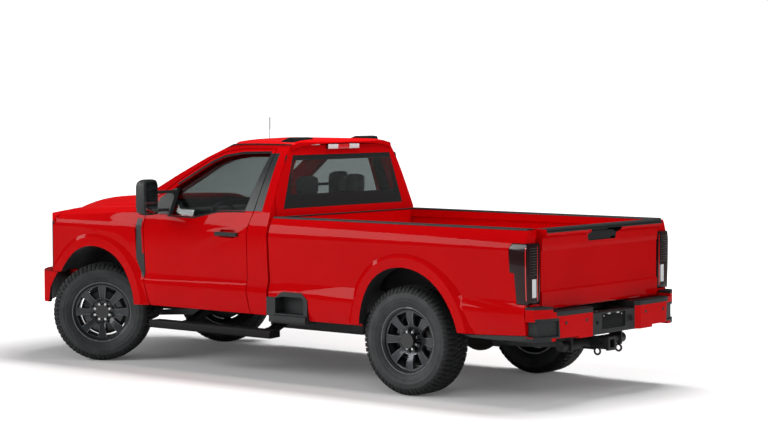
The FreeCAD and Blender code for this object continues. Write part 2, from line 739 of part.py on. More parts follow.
def arch_outline(rear):
    """The wheel opening as (x, z) corners on one spline, from its front foot over the top to its rear foot."""
    if rear:
        spots = [(-1177, 500), (-1182, 620), (-1218, 750), (-1300, 888), (-1430, 978), (-1590, 1010),
                 (-1750, 988),
                 (-1890, 920), (-2005, 815), (-2095, 680), (-2162, 500)]
    else:
        spots = [(1366, 500), (1382, 630), (1446, 775), (1568, 920), (1740, 1003), (1930, 1020), (2070, 985),
                 (2185, 905),
                 (2290, 780), (2376, 640), (2425, 500)]
    curve = Part.BSplineCurve()
    curve.interpolate([Vector(x, 0, z) for x, z in spots])
    return [(point.x, point.z) for point in curve.discretize(23)]


def arch_prism(rear, grow, y0, y1):
    wire = Part.makePolygon([Vector(x, 0, z) for x, z in arch_outline(rear) + arch_outline(rear)[:1]])
    if grow:
        wire = wire.makeOffset2D(grow, 2)
    solid = Part.Face(wire).extrude(Vector(0, y1 - y0, 0))
    solid.translate(Vector(0, y0, 0))
    return solid


def flare(rear, y_out):
    """The raised band round a wheel opening, sloping back to the panel."""
    points = arch_outline(rear)
    crown = Part.makePolygon([Vector(x, y_out, z) for x, z in points + points[:1]]).makeOffset2D(78, 2)
    root = Part.makePolygon([Vector(x, y_out - 62, z) for x, z in points + points[:1]]).makeOffset2D(175, 2)
    band = Part.makeLoft([root, crown], True, True)
    band = band.fuse(Part.Face(crown).extrude(Vector(0, 0.01, 0)))
    return band.cut(block(-3000, 3000, 0, 1200, 0, d.sill_low))


# Cab

def make_cab_floor():
    low, top = d.floor_z, d.floor_z + d.floor_thick
    inner = d.half_width - d.door_thick - 25
    rear = d.cab_rear_x - 12 + d.wall
    tub = block(rear, d.firewall_x, -inner, inner, low, top)
    tub = tub.fuse(prism("x", [(-190, top), (-130, 790), (130, 790), (190, top)], 200, d.firewall_x))
    mount_x = (-60, 620, 1120)
    for x in mount_x:
        for side in (1, -1):
            y0 = d.rail_outer_y - d.rail_width if side > 0 else -d.rail_outer_y
            tub = tub.fuse(block(x, x + 80, y0, y0 + d.rail_width, d.rail_mid_top, low))
    node(shaped("floor_form", tub.cut(both_sides(FORMS["cab_side"]))), "cab_floor")


def make_cab_back():
    """Rear wall with the window let in and a header up to the roof."""
    x = d.cab_rear_x - 12
    lean = 40
    half = [(d.half_width + dy - 8, z) for dy, z in SIDE + UPPER[1:]]
    wall = prism("x", half + [(-y, z) for y, z in reversed(half)], x - 100, x + 300)
    slab = prism("y", [(x, 537), (x, 1340), (x + lean, 1960), (x + lean + d.wall, 1960), (x + d.wall, 1340),
                       (x + d.wall, 537)],
                 -d.half_width, d.half_width)
    reach = d.half_width - d.step_inset - 2
    wall = wall.common(slab).common(block(x - 1, x + 100, -reach, reach, d.floor_z - 8, 2100))
    opening = prism("x", [(-790, 1408), (790, 1408), (640, 1850), (-640, 1850)], x - 50, x + 200)
    wall = wall.cut(opening).cut(FORMS["roof"]).cut(both_sides(FORMS["cab_side"]))
    FORMS["cab_back"] = wall
    node(shaped("cab_back_form", wall), "cab_back")


def back_window():
    x = d.cab_rear_x - 12
    lean = 40
    slab = prism("y", [(x + 2, 1340), (x + 2 + lean, 1960), (x + 2 + lean + d.glass, 1960),
                       (x + 2 + d.glass, 1340)], -1000, 1000)
    pane = prism("x", [(-789, 1408.5), (789, 1408.5), (639, 1849.5), (-639, 1849.5)], x - 50, x + 200)
    return slab.common(pane)


def roof_section(drop):
    """Half-ellipse-like crown of the roof between the two gutters."""
    half = d.half_width - 345
    curve = Part.BSplineCurve()
    shoulder = (1930 + d.roof_z) / 2 - 3
    curve.interpolate([Vector(0, -half, 1930 - drop), Vector(0, -half + 90, shoulder - drop),
                       Vector(0, -250, d.roof_z - 5 - drop),
                       Vector(0, 0, d.roof_z - drop), Vector(0, 250, d.roof_z - 5 - drop),
                       Vector(0, half - 90, shoulder - drop),
                       Vector(0, half, 1930 - drop)])
    return curve.toShape(), half


def make_cab_roof():
    top, half = roof_section(0)
    low, _ = roof_section(d.roof_thick)
    ends = [Part.makeLine(Vector(0, y, 1930), Vector(0, y, 1930 - d.roof_thick)) for y in (-half, half)]
    roof = Part.Face(Part.Wire([top, ends[1], low, ends[0]])).extrude(Vector(900, 0, 0))
    roof.translate(Vector(-225, 0, 0))
    plan = prism("z", [(-152, -half), (-166, -300), (-169, 0), (-166, 300), (-152, half), (500, half),
                       (585, 420),
                       (620, 0), (585, -420), (500, -half)], 1700, 2100)
    roof = roof.common(plan)
    nose = prism("y", [(430, 2010), (430, 1986), (640, 1920), (640, 2010)], -1000, 1000)
    tail = prism("y", [(-70, 2010), (-70, 1984), (-130, 1972), (-180, 1944), (-180, 2010)], -1000, 1000)
    FORMS["roof"] = roof.cut(nose).cut(tail)
    node(shaped("roof_form", FORMS["roof"]), "cab_roof")


def hinge_leaf(z):
    """The pillar's half of a door hinge: an arm with an eye round the door's pin."""
    x, y = d.hinge_x, d.half_width - d.hinge_inset
    eye = Part.makeCylinder(d.hinge_pin_radius + 4, 30, Vector(x, y, z - 15))
    leaf = eye.fuse(block(x - 8, x + 8, d.half_width - d.door_thick - 25, y, z - 15, z + 15))
    depth = d.door_thick + d.panel_gap
    arm = flank(depth, depth + 26, x - 8, 1330).common(block(x - 8, 1330, 700, 1000, z - 15, z + 15))
    leaf = leaf.fuse(arm)
    return leaf.cut(Part.makeCylinder(d.hinge_pin_radius + d.pin_play, 32, Vector(x, y, z - 16)))


def make_cab_side():
    """Door frame of one side: hinge pillar, windscreen pillar, roof rail, rear pillar and sill."""
    gap = d.panel_gap
    rear = d.cab_rear_x
    outline = [(rear, 537), (rear, 1383), (rear + 28, 1900), (rear + 20, 1934), (509, 1934), (743, 1822),
               (1021, 1664),
               (1275, 1512), (1420, 1398), (1335, 1398), (1335, 700), (1300, 640), (1280, 537)]
    solid = flank(0, d.door_thick, rear - 10, 1430).common(cut_out(outline))
    opening = grown(DOOR, gap)
    skin = flank(0, d.skin_edge + 6, rear - 10, 1430).common(cut_out(outline)).cut(opening)
    outer = solid.cut(flank(-5, d.skin_edge + 6, rear - 20, 1440)).cut(grown(DOOR, -1)).fuse(skin)
    inner = flank(d.door_thick + gap, d.door_thick + gap + 26, rear - 10, 1430).common(cut_out(outline))
    upper_in = flank(44, d.door_thick + gap + 1, rear - 10, 1430).common(cut_out(outline))
    hole = [(1257, 730), (1257, 1358), (1120, 1393), (1000, 1520), (650, 1745), (530, 1795), (350, 1825),
            (70, 1830), (100, 1380),
            (140, 1250), (150, 780), (120, 730)]
    swing = Part.makeCylinder(d.door_thick, 260, Vector(d.hinge_x, d.half_width - d.hinge_inset, 540))
    flange = inner.cut(cut_out(hole)).cut(swing)
    above = cut_out([(-400, 1400), (-400, 2100), (1500, 2100), (1500, 1400)])
    rim = upper_in.common(above).cut(grown(DOOR, -1)).cut(cut_out(hole))
    side = outer.fuse([flange, rim])
    wheel = arch_prism(False, 4, 300, 1300)
    side = side.cut(wheel).cut(prism("y", [(1262, 500), (1262, 700), (1290, 760), (1290, 1398), (1600, 1398),
                                           (1600, 500)],
                                     d.half_width - 62 - gap, 1300))
    # room for the front edge of the door skin, which swings inwards round the hinge pin
    reach = math.hypot(1262 - d.hinge_x, d.hinge_inset) + d.joint_gap
    centre = Vector(d.hinge_x, d.half_width - d.hinge_inset, 520)
    side = side.cut(Part.makeCylinder(reach, 790, centre))
    side = side.cut(Part.makeCone(reach, reach - 18, 66, centre + Vector(0, 0, 790)))
    side = side.cut(Part.makeCone(reach - 18, reach - 10, 64, centre + Vector(0, 0, 856)))
    for z in (d.hinge_low_z, d.hinge_high_z):
        side = side.fuse(hinge_leaf(z))
    side = side.cut(FORMS["roof"]).cut(FORMS["fender"])
    FORMS["cab_side"] = side
    node(shaped("cab_side_form_left", side), "cab_side_left")
    node(shaped("cab_side_form_right", mirrored(side)), "cab_side_right")


def make_cowl():
    """Firewall, windscreen base and the two ends behind the fenders."""
    x = d.firewall_x
    inner = d.half_width - d.door_thick - d.panel_gap - 30
    wall = block(x, x + 14, -inner, inner, d.floor_z, 1385)
    shelf = prism("y", [(x, 1372), (x + 6, 1352), (x + 135, 1345), (x + 135, 1372), (x + 60, 1394), (x, 1394)],
                  -inner, inner)
    braces = [block(x + 14, x + 56, s * 520 - 8, s * 520 + 8, d.floor_z, 1368) for s in (-1, 1)]
    whole = wall.fuse([shelf] + braces)
    hinge = drum(d.hood_hinge_x, d.hood_hinge_z, 6, 688, 724)
    ears = [drum(d.hood_hinge_x, d.hood_hinge_z, 13, y,
                 y + 6).fuse(block(d.hood_hinge_x - 12, d.hood_hinge_x + 12, y, y + 6, 1350, 1385))
            for y in (688, 718)]
    slot = block(1405, 1500, 694, 718, 1300, 1500)
    for side in (1, -1):
        for part in ears + [hinge]:
            whole = whole.fuse(part if side > 0 else mirrored(part)) if part is not hinge else whole
        whole = whole.cut(slot if side > 0 else mirrored(slot))
        whole = whole.fuse(hinge if side > 0 else mirrored(hinge))
    node(shaped("cowl_form", whole), "cowl")


def windscreen():
    """Laminated pane between the pillars, bowed across the cab."""
    rows = []
    for x_mid, x_side, z_mid, z_side, half in ((1462, 1385, 1404, 1410, 780), (580, 505, 1944, 1898, 600)):
        arc = Part.Arc(Vector(x_side, -half, z_side), Vector(x_mid, 0, z_mid),
                       Vector(x_side, half, z_side)).toShape()
        rows.append(arc)
    sheet_face = Part.makeRuledSurface(rows[0], rows[1])
    normal = sheet_face.normalAt(0.5, 0.5)
    if normal.z > 0:
        normal = normal * -1
    return sheet_face.extrude(normal * d.glass)


def make_cab_glass():
    around = both_sides(FORMS["cab_side"])
    panes = [windscreen().cut(around).cut(FORMS["roof"]), back_window().cut(around)]
    node(shaped("glass_forms", Part.Compound(panes)), "cab_glass")


# Cab inside

def make_inside():
    inner = d.half_width - d.door_thick - d.panel_gap - 70
    back = d.firewall_x - 0.3
    dash = prism("y", [(back, 1010), (back, 1352), (1120, 1350), (1040, 1290), (1010, 1180), (1060, 1060),
                       (1180, 980)],
                 -inner + 2, inner - 2)
    dash = dash.fuse(prism("y", [(1025, 1170), (1045, 1270), (880, 1235), (872, 1205)], 356, 404))
    dash = dash.fuse(rod(column_point(-70), column_point(-2), d.pin_radius))
    node(shaped("dash_form", dash), "dashboard")
    cushion = prism("y", [(190, 830), (190, 960), (250, 985), (640, 1015), (730, 985), (740, 900), (700, 835)],
                    60, 560)
    riser = prism("y", [(230, d.floor_z + d.floor_thick), (230, 830), (640, 830),
                        (680, d.floor_z + d.floor_thick)], 200, 540)
    middle = prism("y", [(190, 830), (190, 960), (640, 1000), (700, 960), (690, 830)], -50, 50)
    low = prism("y", [(230, 790), (230, 830), (640, 830), (640, 790)], -50, 50)
    node(shaped("cushion_forms", Part.Compound([cushion, mirrored(cushion), middle])), "seat_cushions")
    node(shaped("riser_forms", Part.Compound([riser, mirrored(riser), low])), "seat_frames")
    backs = []
    for y0, y1, top in ((62, 558, 1460), (-558, -62, 1460), (-50, 50, 1360)):
        back = prism("y", [(60, 880), (189.7, 900), (189.7, 960), (60, top), (-20, top - 20), (-60, top - 80)],
                     y0, y1)
        if y1 - y0 > 200:
            middle_y = (y0 + y1) / 2
            rest = block(-62, 28, middle_y - 125, middle_y + 125, top + 40, top + 205)
            for post in (-60, 60):
                rest = rest.fuse(rod((-10, middle_y + post, top - 60), (-18, middle_y + post, top + 60), 7))
            back = back.fuse(rest)
        backs.append(back)
    node(shaped("back_forms", Part.Compound(backs)), "seat_backs")


def column_point(along):
    """A point on the steering column's axis, measured from the wheel's centre to the driver."""
    lean = math.radians(d.column_lean)
    return (d.steering_x - along * math.sin(lean), d.steering_y, d.steering_z + along * math.cos(lean))


def make_steering_wheel():
    rim = Part.makeTorus(182, 15, Vector(), Vector(0, 0, 1))
    hub = Part.makeCylinder(58, 34, Vector(0, 0, -22))
    wheel = rim.fuse(hub)
    for turn in (0, 135, 225):
        spoke = block(40, 172, -15, 15, -10, 4)
        spoke.rotate(Vector(), Vector(0, 0, 1), turn - 90)
        wheel = wheel.fuse(spoke)
    wheel = wheel.cut(Part.makeCylinder(d.pin_radius + d.pin_play, 30, Vector(0, 0, -23)))
    item = node(shaped("steering_wheel_form", wheel), "steering_wheel")
    item.Placement = Placement(Vector(d.steering_x, d.steering_y, d.steering_z),
                               Rotation(Vector(0, 1, 0), -d.column_lean))


# Doors

def make_doors():
    skin = flank(0, d.skin_edge, -30, 1290).common(grown(DOOR, 0))
    deep = flank(d.skin_edge, d.door_thick, -30, 1290).common(grown(DOOR, -d.door_step))
    shell = skin.fuse(deep)
    upper = cut_out([(-300, 1400), (-300, 2100), (1400, 2100), (1400, 1400)])
    frame_room = flank(38, 400, -60, 1400).common(upper)
    window = grown([(x, z) for x, z in WINDOW], 0)
    shell = shell.cut(frame_room).cut(window)
    slot = flank(30, 52, 60, 1180).common(cut_out([(60, 760), (60, 1420), (1180, 1420), (1180, 760)]))
    pocket = prism("x", [(d.half_width + 5, 1160), (d.half_width - 32, 1172), (d.half_width - 32, 1222),
                         (d.half_width + 5, 1232)], 190, 350)
    shell = shell.cut(slot).cut(pocket)
    hinge_y = d.half_width - d.hinge_inset
    for z in (d.hinge_low_z, d.hinge_high_z):
        shell = shell.cut(block(d.hinge_x - 17, 1300, 800, hinge_y + 11.5, z - 30, z + 30))
        shell = shell.fuse(Part.makeCylinder(d.hinge_pin_radius, 70, Vector(d.hinge_x, hinge_y, z - 35)))
    bar = block(150, 395, d.half_width + 12, d.half_width + 26, 1176, 1210)
    for x in (150, 365):
        bar = bar.fuse(block(x, x + 30, d.half_width - 12, d.half_width + 14, 1178, 1208))
    shell = shell.fuse(bar)
    glass = flank(36, 36 + d.glass, 40, 1015).common(cut_out([(x, z) for x, z in WINDOW]))
    arms = []
    for z in (1370, 1524):
        arms.append(block(985, 1020, 870, 1190, z - 12, z + 12))
    head = prism("y", [(905, 1345), (905, 1635), (960, 1645), (1045, 1600), (1050, 1380), (1000, 1342)], 1165,
                 1335)
    pad = flank(-8, -0.3, 960, 1200).common(cut_out([(972, 1330), (972, 1554), (1010, 1545), (1130, 1470),
                                                     (1180, 1330)]))
    plug = flank(-8, 35.7, 960, 1010).common(cut_out([(972, 1330), (972, 1554), (999.7, 1540), (999.7, 1330)]))
    mirror = head.fuse(arms + [pad]).cut(flank(-0.3, 300, 900, 1230)).fuse(plug)
    recess = block(900, 912, 1178, 1322, 1360, 1620)
    mirror = mirror.cut(recess)
    parts = (("shell", shell), ("glass", glass), ("mirror", mirror))
    for name, form in parts:
        for side, tag in ((1, "left"), (-1, "right")):
            node(shaped(f"door_{name}_form_{tag}", form if side > 0 else mirrored(form)), f"door_{name}_{tag}")


# Front

def nose_plan(setback):
    """Plan outline of the truck's nose, set back from the bumper's face."""
    side = [(2430, 1012), (2520, 1006), (2640, 905), (2740, 800), (2820, 690), (2892, 500), (2932, 250)]
    half = [(x - setback, y) for x, y in side]
    return [(1200, -1012), (1200, 1012)] + half + [(2944 - setback, 0)] + [(x, -y) for x, y in reversed(half)]


def fender_wire(x, top):
    """Closed section of the fender wall at one station, its crown reaching the hood's edge."""
    half, skin = d.half_width, d.skin
    edge = d.hood_half + d.panel_gap
    outer = [(half - 35, 537), (half - 15, 600), (half, 730), (half - 25, 818), (half, 1185), (half - 22, 1240),
             (half - 62, top - 42), (edge, top)]
    inner = [(edge, top - 30), (half - 90, top - 70), (half - skin - 14, 1225), (half - skin, 1180),
             (half - skin - 25, 825),
             (half - skin, 730), (half - skin - 15, 600), (half - skin - 35, 537)]
    return flat_at(x, outer + inner)


def flat_at(x, points):
    wire = flat("x", points)
    wire.translate(Vector(x, 0, 0))
    return wire


def make_fenders():
    solid = Part.makeLoft([fender_wire(1215, 1388), fender_wire(2480, 1312)], True, True)
    gap = d.panel_gap
    side = [(1212 + gap, 530), (1262 + gap, 759), (1262 + gap, 1420), (2380, 1420), (2396, 1235), (2412, 1180),
            (2438, 772),
            (2296, 772), (2296, 500)]
    solid = solid.common(cut_out(side))
    solid = solid.fuse(flare(False, d.half_width + 16).common(prism("y", side, 0, 1300)))
    solid = solid.cut(arch_prism(False, 0, 300, 1300)).cut(prism("y",
                                                                 [(1200, 300), (1200, d.sill_low),
                                                                  (3000, d.sill_low), (3000, 300)], 0, 1300))
    vent = prism("y", [(1369, 1285), (1369, 930), (1292, 770), (1246, 770), (1242, 930), (1240, 1285)],
                 d.half_width - 14, 1100)
    edge = d.hood_half + gap
    brace = prism("x", [(edge, 1258), (edge + 30, 1290), (edge + 30, 1240), (700, 1140),
                        (d.rail_outer_y - 2, 1020),
                        (d.rail_outer_y - 2, 1060)], 2330, 2372)
    post = block(2330, 2372, d.rail_outer_y - 42, d.rail_outer_y - 2, d.rail_axle_top - 30, 1060)
    liner = arch_liner()
    whole = solid.cut(vent).fuse([brace, post, liner])
    FORMS["fender"] = whole
    node(shaped("fender_form_left", whole), "fender_left")
    node(shaped("fender_form_right", mirrored(whole)), "fender_right")


def arch_liner():
    """The splash liner over the front wheel: a curved band from the panel to the frame."""
    outer_y = d.half_width - 34
    inner_y = d.rail_outer_y + 2
    band = drum(1930, 433, 620, inner_y, outer_y).cut(drum(1930, 433, 606, inner_y - 1, outer_y + 1))
    return band.cut(block(-3000, 3000, 0, 1200, -300, d.rail_axle_top + 4))


def hood_surface(sink):
    """Loft under the hood's outside from windscreen to nose, higher in its middle, lowered by sink."""
    ridge = Part.BSplineCurve()
    ridge.interpolate([Vector(x, edge, middle) for x, edge, middle in (
        (1484, 1390, 1450), (1752, 1368, 1440), (2160, 1346, 1420), (2440, 1312, 1384), (2600, 1268, 1338),
        (2700, 1226, 1300), (2780, 1204, 1262), (2860, 1190, 1232))])
    stations = ridge.discretize(18)
    half = 892 + sink / 4
    rows = []
    for spot in stations:
        edge, middle = spot.y - sink, spot.z - sink
        x = spot.x
        if spot is stations[0]:
            x -= sink
        if spot is stations[-1]:
            x += sink
        flank_z = edge + (middle - edge) * 0.35
        line = [(-half, edge - 32), (-800, edge), (-560, flank_z), (-430, middle - 6), (0, middle),
                (430, middle - 6),
                (560, flank_z), (800, edge), (half, edge - 32)]
        curve = Part.BSplineCurve()
        curve.interpolate([Vector(x, y, z) for y, z in line])
        base = Part.makePolygon([Vector(x, half, edge - 32), Vector(x, half, 1100 - sink),
                                 Vector(x, -half, 1100 - sink),
                                 Vector(x, -half, edge - 32)])
        rows.append(Part.Wire([curve.toShape()] + base.Edges))
    return Part.makeLoft(rows, True, True)


def make_hood():
    top = hood_surface(0)
    half = d.hood_half
    plan = prism("z", nose_plan(115), 1100, 1600)
    shell = top.cut(hood_surface(30)).common(block(1400, 2900, -half, half, 1218, 1600)).common(plan)
    front = top.common(prism("z", nose_plan(115), 1218, 1400)).cut(prism("z", nose_plan(140), 1200, 1500))
    front = front.common(block(2404, 2900, -half, half, 1218, 1400))
    cheek = prism("x", [(half - 20, 1316), (905, 1292), (965, 1262), (1012, 1222), (1012, 1218), (975, 1218),
                        (940, 1240),
                        (890, 1266), (half - 20, 1284)], 2404, 2800).common(plan)
    rim = prism("z", nose_plan(115), 1218, 1300).cut(prism("z", nose_plan(140), 1200, 1500)).common(prism("x", [
        (half - 20, 1316), (905, 1292), (965, 1262), (1012, 1222), (1012, 1218), (half - 20, 1218)], 2404,
        2800))
    slope = prism("y", [(2404, 1317), (2520, 1288), (2620, 1248), (2680, 1224), (2900, 1221), (2900, 1500),
                        (2404, 1500)],
                  half - 21, 1100)
    cheek = cheek.fuse(rim).cut(slope)
    arm = prism("y", [(d.hood_hinge_x, d.hood_hinge_z - 14), (d.hood_hinge_x, d.hood_hinge_z + 13),
                      (1500, 1388), (1660, 1388),
                      (1660, 1345), (1500, 1350)], 701, 711)
    arm = arm.common(top).fuse(drum(d.hood_hinge_x, d.hood_hinge_z, 14, 701, 711)).fuse(
        prism("y", [(d.hood_hinge_x, d.hood_hinge_z - 14), (d.hood_hinge_x, d.hood_hinge_z + 12), (1492, 1386),
                    (1500, 1356)], 701, 711))
    arm = arm.cut(drum(d.hood_hinge_x, d.hood_hinge_z, 6.3, 690, 720))
    whole = shell.fuse([front, cheek, mirrored(cheek), arm, mirrored(arm)])
    node(shaped("hood_form", whole), "hood")


def make_grille():
    """Upright surround with two bars across and a ladder of slats behind them."""
    low, top = 800, 1205
    half = 590
    outer = prism("z", nose_plan(84), low, top).common(block(2600, 3000, -half, half, low, top))
    outer = outer.cut(prism("z", nose_plan(164), low - 1, top + 1))
    ring_room = prism("x", [(-half + 42, low + 40), (half - 42, low + 40), (half - 42, top - 40),
                            (-half + 42, top - 40)], 2500, 3000)
    frame = outer.cut(ring_room)
    bars = [prism("z", nose_plan(94), z, z + 46).cut(prism("z", nose_plan(150), z - 1,
                                                           z + 50)).common(block(2600, 3000, -half + 41,
                                                                   half - 41, z, z + 46))
            for z in (905, 1050)]
    slats = []
    count = 12
    for index in range(count):
        y = -half + 60 + index * (2 * half - 120 - 14) / (count - 1)
        slab = prism("z", nose_plan(118), low + 39, top - 39).cut(prism("z", nose_plan(140), low, top)).common(
            block(2600, 3000, y, y + 14, low + 39, top - 39))
        slats.append(slab)
    whole = frame.fuse(bars + slats)
    shelf = block(2440, 2830, -438, 438, low - 20, low)
    feet = [block(2440, 2515, s * 400 - 38, s * 400 + 38, d.rail_axle_top - 30, low - 10) for s in (-1, 1)]
    whole = whole.fuse([shelf.fuse(feet[0]).fuse(feet[1])])
    node(shaped("grille_form", whole), "grille")


def make_headlamps():
    body = prism("z", nose_plan(112), 790, 1212).cut(prism("z", nose_plan(232), 700, 1300))
    side = body.common(block(2300, 3000, 590.3, 1100, 770, 1212))
    side = side.cut(prism("y", [(2300, 700), (2300, 1300), (2404, 1300), (2404, 1212), (2418, 1180),
                                (2446, 700)], 500, 1200))
    node(shaped("headlamp_forms", both_sides(side)), "headlamps")


def make_front_bumper():
    low, top = 491, 768
    whole = prism("z", nose_plan(0), low, top).cut(prism("z", nose_plan(96), low - 1, top + 1))
    whole = whole.cut(prism("y", [(1000, 300), (1000, 900), (2340, 900), (2340, 768), (2400, 690), (2440, 620),
                                  (2462, 491),
                                  (2462, 300)], -1200, 1200))
    opening = prism("x", [(-430, 540), (430, 540), (400, 640), (-400, 640)], 2500, 3100)
    whole = whole.cut(opening)
    for s in (-1, 1):
        y0 = s * 400 - 40
        whole = whole.fuse(block(d.rail_front_x, 2870, y0, y0 + 80, 650, 732))
        whole = whole.fuse(Part.makeTorus(28, 9, Vector(2880, s * 480, 585), Vector(0, 1, 0)).fuse(
            rod((2800, s * 480, 600), (2865, s * 480, 590), 9)))
    node(shaped("bumper_form_front", whole), "front_bumper")


# Load bed

def make_bed_floor():
    """Pressed floor with raised ribs along it, on cross sills over the frame."""
    low, top = d.bed_floor_z - 18, d.bed_floor_z - 9
    inner = d.bed_inner_y - 1
    front, rear = d.bed_front_x - 40, d.bed_rear_x
    sheet_ = block(rear, front, -inner, inner, low, top)
    ribs = []
    count = 13
    pitch = 2 * (inner - 60) / count
    for index in range(count):
        y = -inner + 60 + (index + 0.28) * pitch
        ribs.append(block(rear, front, y, y + pitch * 0.55, top, d.bed_floor_z))
    sills = [block(x, x + 70, -d.bed_inner_y + 110, d.bed_inner_y - 110, d.rail_axle_top, low) for x in (-2560,
            -2140, -1050, -420)]
    whole = sheet_.fuse(ribs + sills)
    for side in (1, -1):
        y0, y1 = (640, 900) if side > 0 else (-900, -640)
        whole = whole.cut(block(d.rear_axle_x - 500, d.rear_axle_x + 500, y0, y1, low - 5, d.bed_floor_z + 5))
    node(shaped("bed_floor_form", whole), "bed_floor")


def make_bed_header():
    front = d.bed_front_x
    wall = block(front - 40, front - 4, -d.bed_inner_y + 1, d.bed_inner_y - 1, 700, d.rail_z)
    grooves = [block(front - 41, front - 32, -700, 700, z, z + 60) for z in (1020, 1150)]
    node(shaped("header_form", wall.cut(Part.Compound(grooves))), "bed_header")


def bed_section():
    half = d.half_width + 4
    low_y = d.bed_inner_y
    return [(half - 30, 520), (half - 10, 600), (half, 730), (half - 24, 818), (half, 1184), (half - 12, 1240),
            (half - 44, d.rail_z - 20), (half - 62, d.rail_z), (low_y, d.rail_z), (low_y, d.rail_z - 60),
            (low_y + 14, d.rail_z - 66),
            (low_y + 14, d.bed_floor_z + 20), (low_y, d.bed_floor_z), (low_y, d.bed_floor_z - 40),
            (half - 60, d.bed_floor_z - 40),
            (half - 62, 730), (half - 75, 600), (half - 80, 520)]


def wheelhouse():
    """Inner wheel box: a flat-sided pressing, arched over the tyre and open below."""
    x, z = d.rear_axle_x, d.wheel_height
    inner_y, wall = 641, 14
    base = d.bed_floor_z - 18

    def hump(grow):
        return [(x - 500 - grow, base), (x - 500 - grow, z + 440), (x - 430 - grow, z + 570),
                (x - 200, z + 640 + grow),
                (x + 200, z + 640 + grow), (x + 430 + grow, z + 570), (x + 500 + grow, z + 440),
                (x + 500 + grow, base)]
    outside = prism("y", hump(0), inner_y, d.half_width - 55)
    inside = prism("y", [(a, b - 1 if b == base else b) for a, b in hump(-wall)], inner_y + wall, d.half_width)
    return outside.cut(inside)


def make_bed_sides():
    """Both walls of the bed: outer panel, inner panel, wheel box, step recess and filler door."""
    front, rear = d.bed_front_x, d.bed_rear_x
    wall = prism("x", bed_section(), rear + 4, front)
    corner = prism("x", bed_section(), -2770, rear + 4).cut(block(-2800, rear + 5, 0, d.tailgate_half + 14, 500,
                                                                  1500))
    wall = wall.fuse(corner)
    lamp_room = prism("y", [(-2900, 785), (-2684, 785), (-2668, 1018), (-2626, 1022), (-2622, 1212),
                            (-2650, 1246), (-2900, 1246)],
                      700, 1200)
    inner_arch = arch_prism(True, 0, 600, 1300)
    wall = wall.fuse(flare(True, d.half_width + 18)).cut(inner_arch)
    pivot_x, pivot_z = d.tailgate_pivot_x, d.tailgate_pivot_z
    ear = block(pivot_x - 22, pivot_x + 60, d.tailgate_half + 8, 950, pivot_z - 26, 784)
    wall = wall.cut(lamp_room).fuse(ear).cut(drum(pivot_x, pivot_z, d.pin_radius - 5 + d.pin_play, 700, 900))
    wall = wall.fuse(wheelhouse())
    step = [(-190, 540), (-190, 697), (-270, 697), (-343, 745), (-558, 745), (-621, 690), (-621, 500),
            (-190, 500)]
    wall = wall.cut(prism("y", step, d.half_width - 200, 1200))
    wall = wall.cut(prism("y", [(-2900, 400), (-2900, 560), (-2500, 541), (-2300, 532), (-2140, 530),
                                (-2140, 400)], 0, 1200))
    node(shaped("bed_side_form_left", wall), "bed_side_left")
    node(shaped("bed_side_form_right", mirrored(wall)), "bed_side_right")


def make_side_steps():
    """Moulded step let into the lower bed side just behind the cab."""
    half = d.half_width + 6
    outline = [(-174, 541), (-174, 696), (-270.5, 696), (-343.5, 744), (-557.5, 744), (-620, 689), (-620, 490),
               (-200, 490),
               (-200, 541)]
    frame = prism("y", outline, half - d.step_inset, half)
    hollow = prism("y", [(-272, 566), (-272, 690), (-345, 706), (-556, 706), (-580, 680), (-580, 566)],
                   half - d.step_inset + 16, half + 5)
    tread = prism("x", [(half - 60, 492), (half + 4, 486), (half + 18, 505), (half + 18, 545), (half, 560),
                        (half - 60, 560)],
                  -613, -261)
    arm = prism("x", [(d.rail_outer_y, 640), (d.rail_outer_y, 560), (half - d.step_inset, 500),
                      (half - d.step_inset, 560)], -480, -410)
    step = frame.cut(hollow).fuse([tread, arm])
    node(shaped("side_step_forms", both_sides(step)), "side_steps")


def make_rail_caps():
    top = d.rail_z
    half = d.half_width + 4
    cap = prism("x", [(d.bed_inner_y - 3, top), (half - 58, top), (half - 62, top + d.cap_thick),
                      (d.bed_inner_y, top + d.cap_thick)],
                d.bed_rear_x - 50, d.bed_front_x - 3)
    header = block(d.bed_front_x - 42, d.bed_front_x - 4, -d.bed_inner_y + 4, d.bed_inner_y - 4, top,
                   top + d.cap_thick - 2)
    node(shaped("rail_cap_forms", Part.Compound([cap, mirrored(cap), header])), "rail_caps")


def make_tail_lamps():
    body = prism("x", [(d.tailgate_half + 14, 785.3), (d.half_width - 15, 785.3), (d.half_width - 2, 1000),
                       (d.half_width + 2, 1184), (d.half_width - 10, 1245.7), (d.tailgate_half + 14, 1245.7)],
                       -2792, -2600)
    side = prism("y", [(-2792, 785.3), (-2684.4, 785.3), (-2668.4, 1018.3), (-2626.4, 1022.3),
                       (-2622.4, 1211.8),
                       (-2650.3, 1245.7), (-2786, 1245.7)], 700, 1200)
    lamp = body.common(side).cut(block(d.bed_rear_x - 1, -2500, 0, d.bed_inner_y + 1, 700, 1300))
    pivot_x, pivot_z = d.tailgate_pivot_x, d.tailgate_pivot_z
    lamp = lamp.cut(block(pivot_x - 17, pivot_x + 17, 700, d.tailgate_half + 66, 700, pivot_z + 17))
    node(shaped("tail_lamp_forms", Part.Compound([lamp, mirrored(lamp), brake_lamp()])), "tail_lamps")


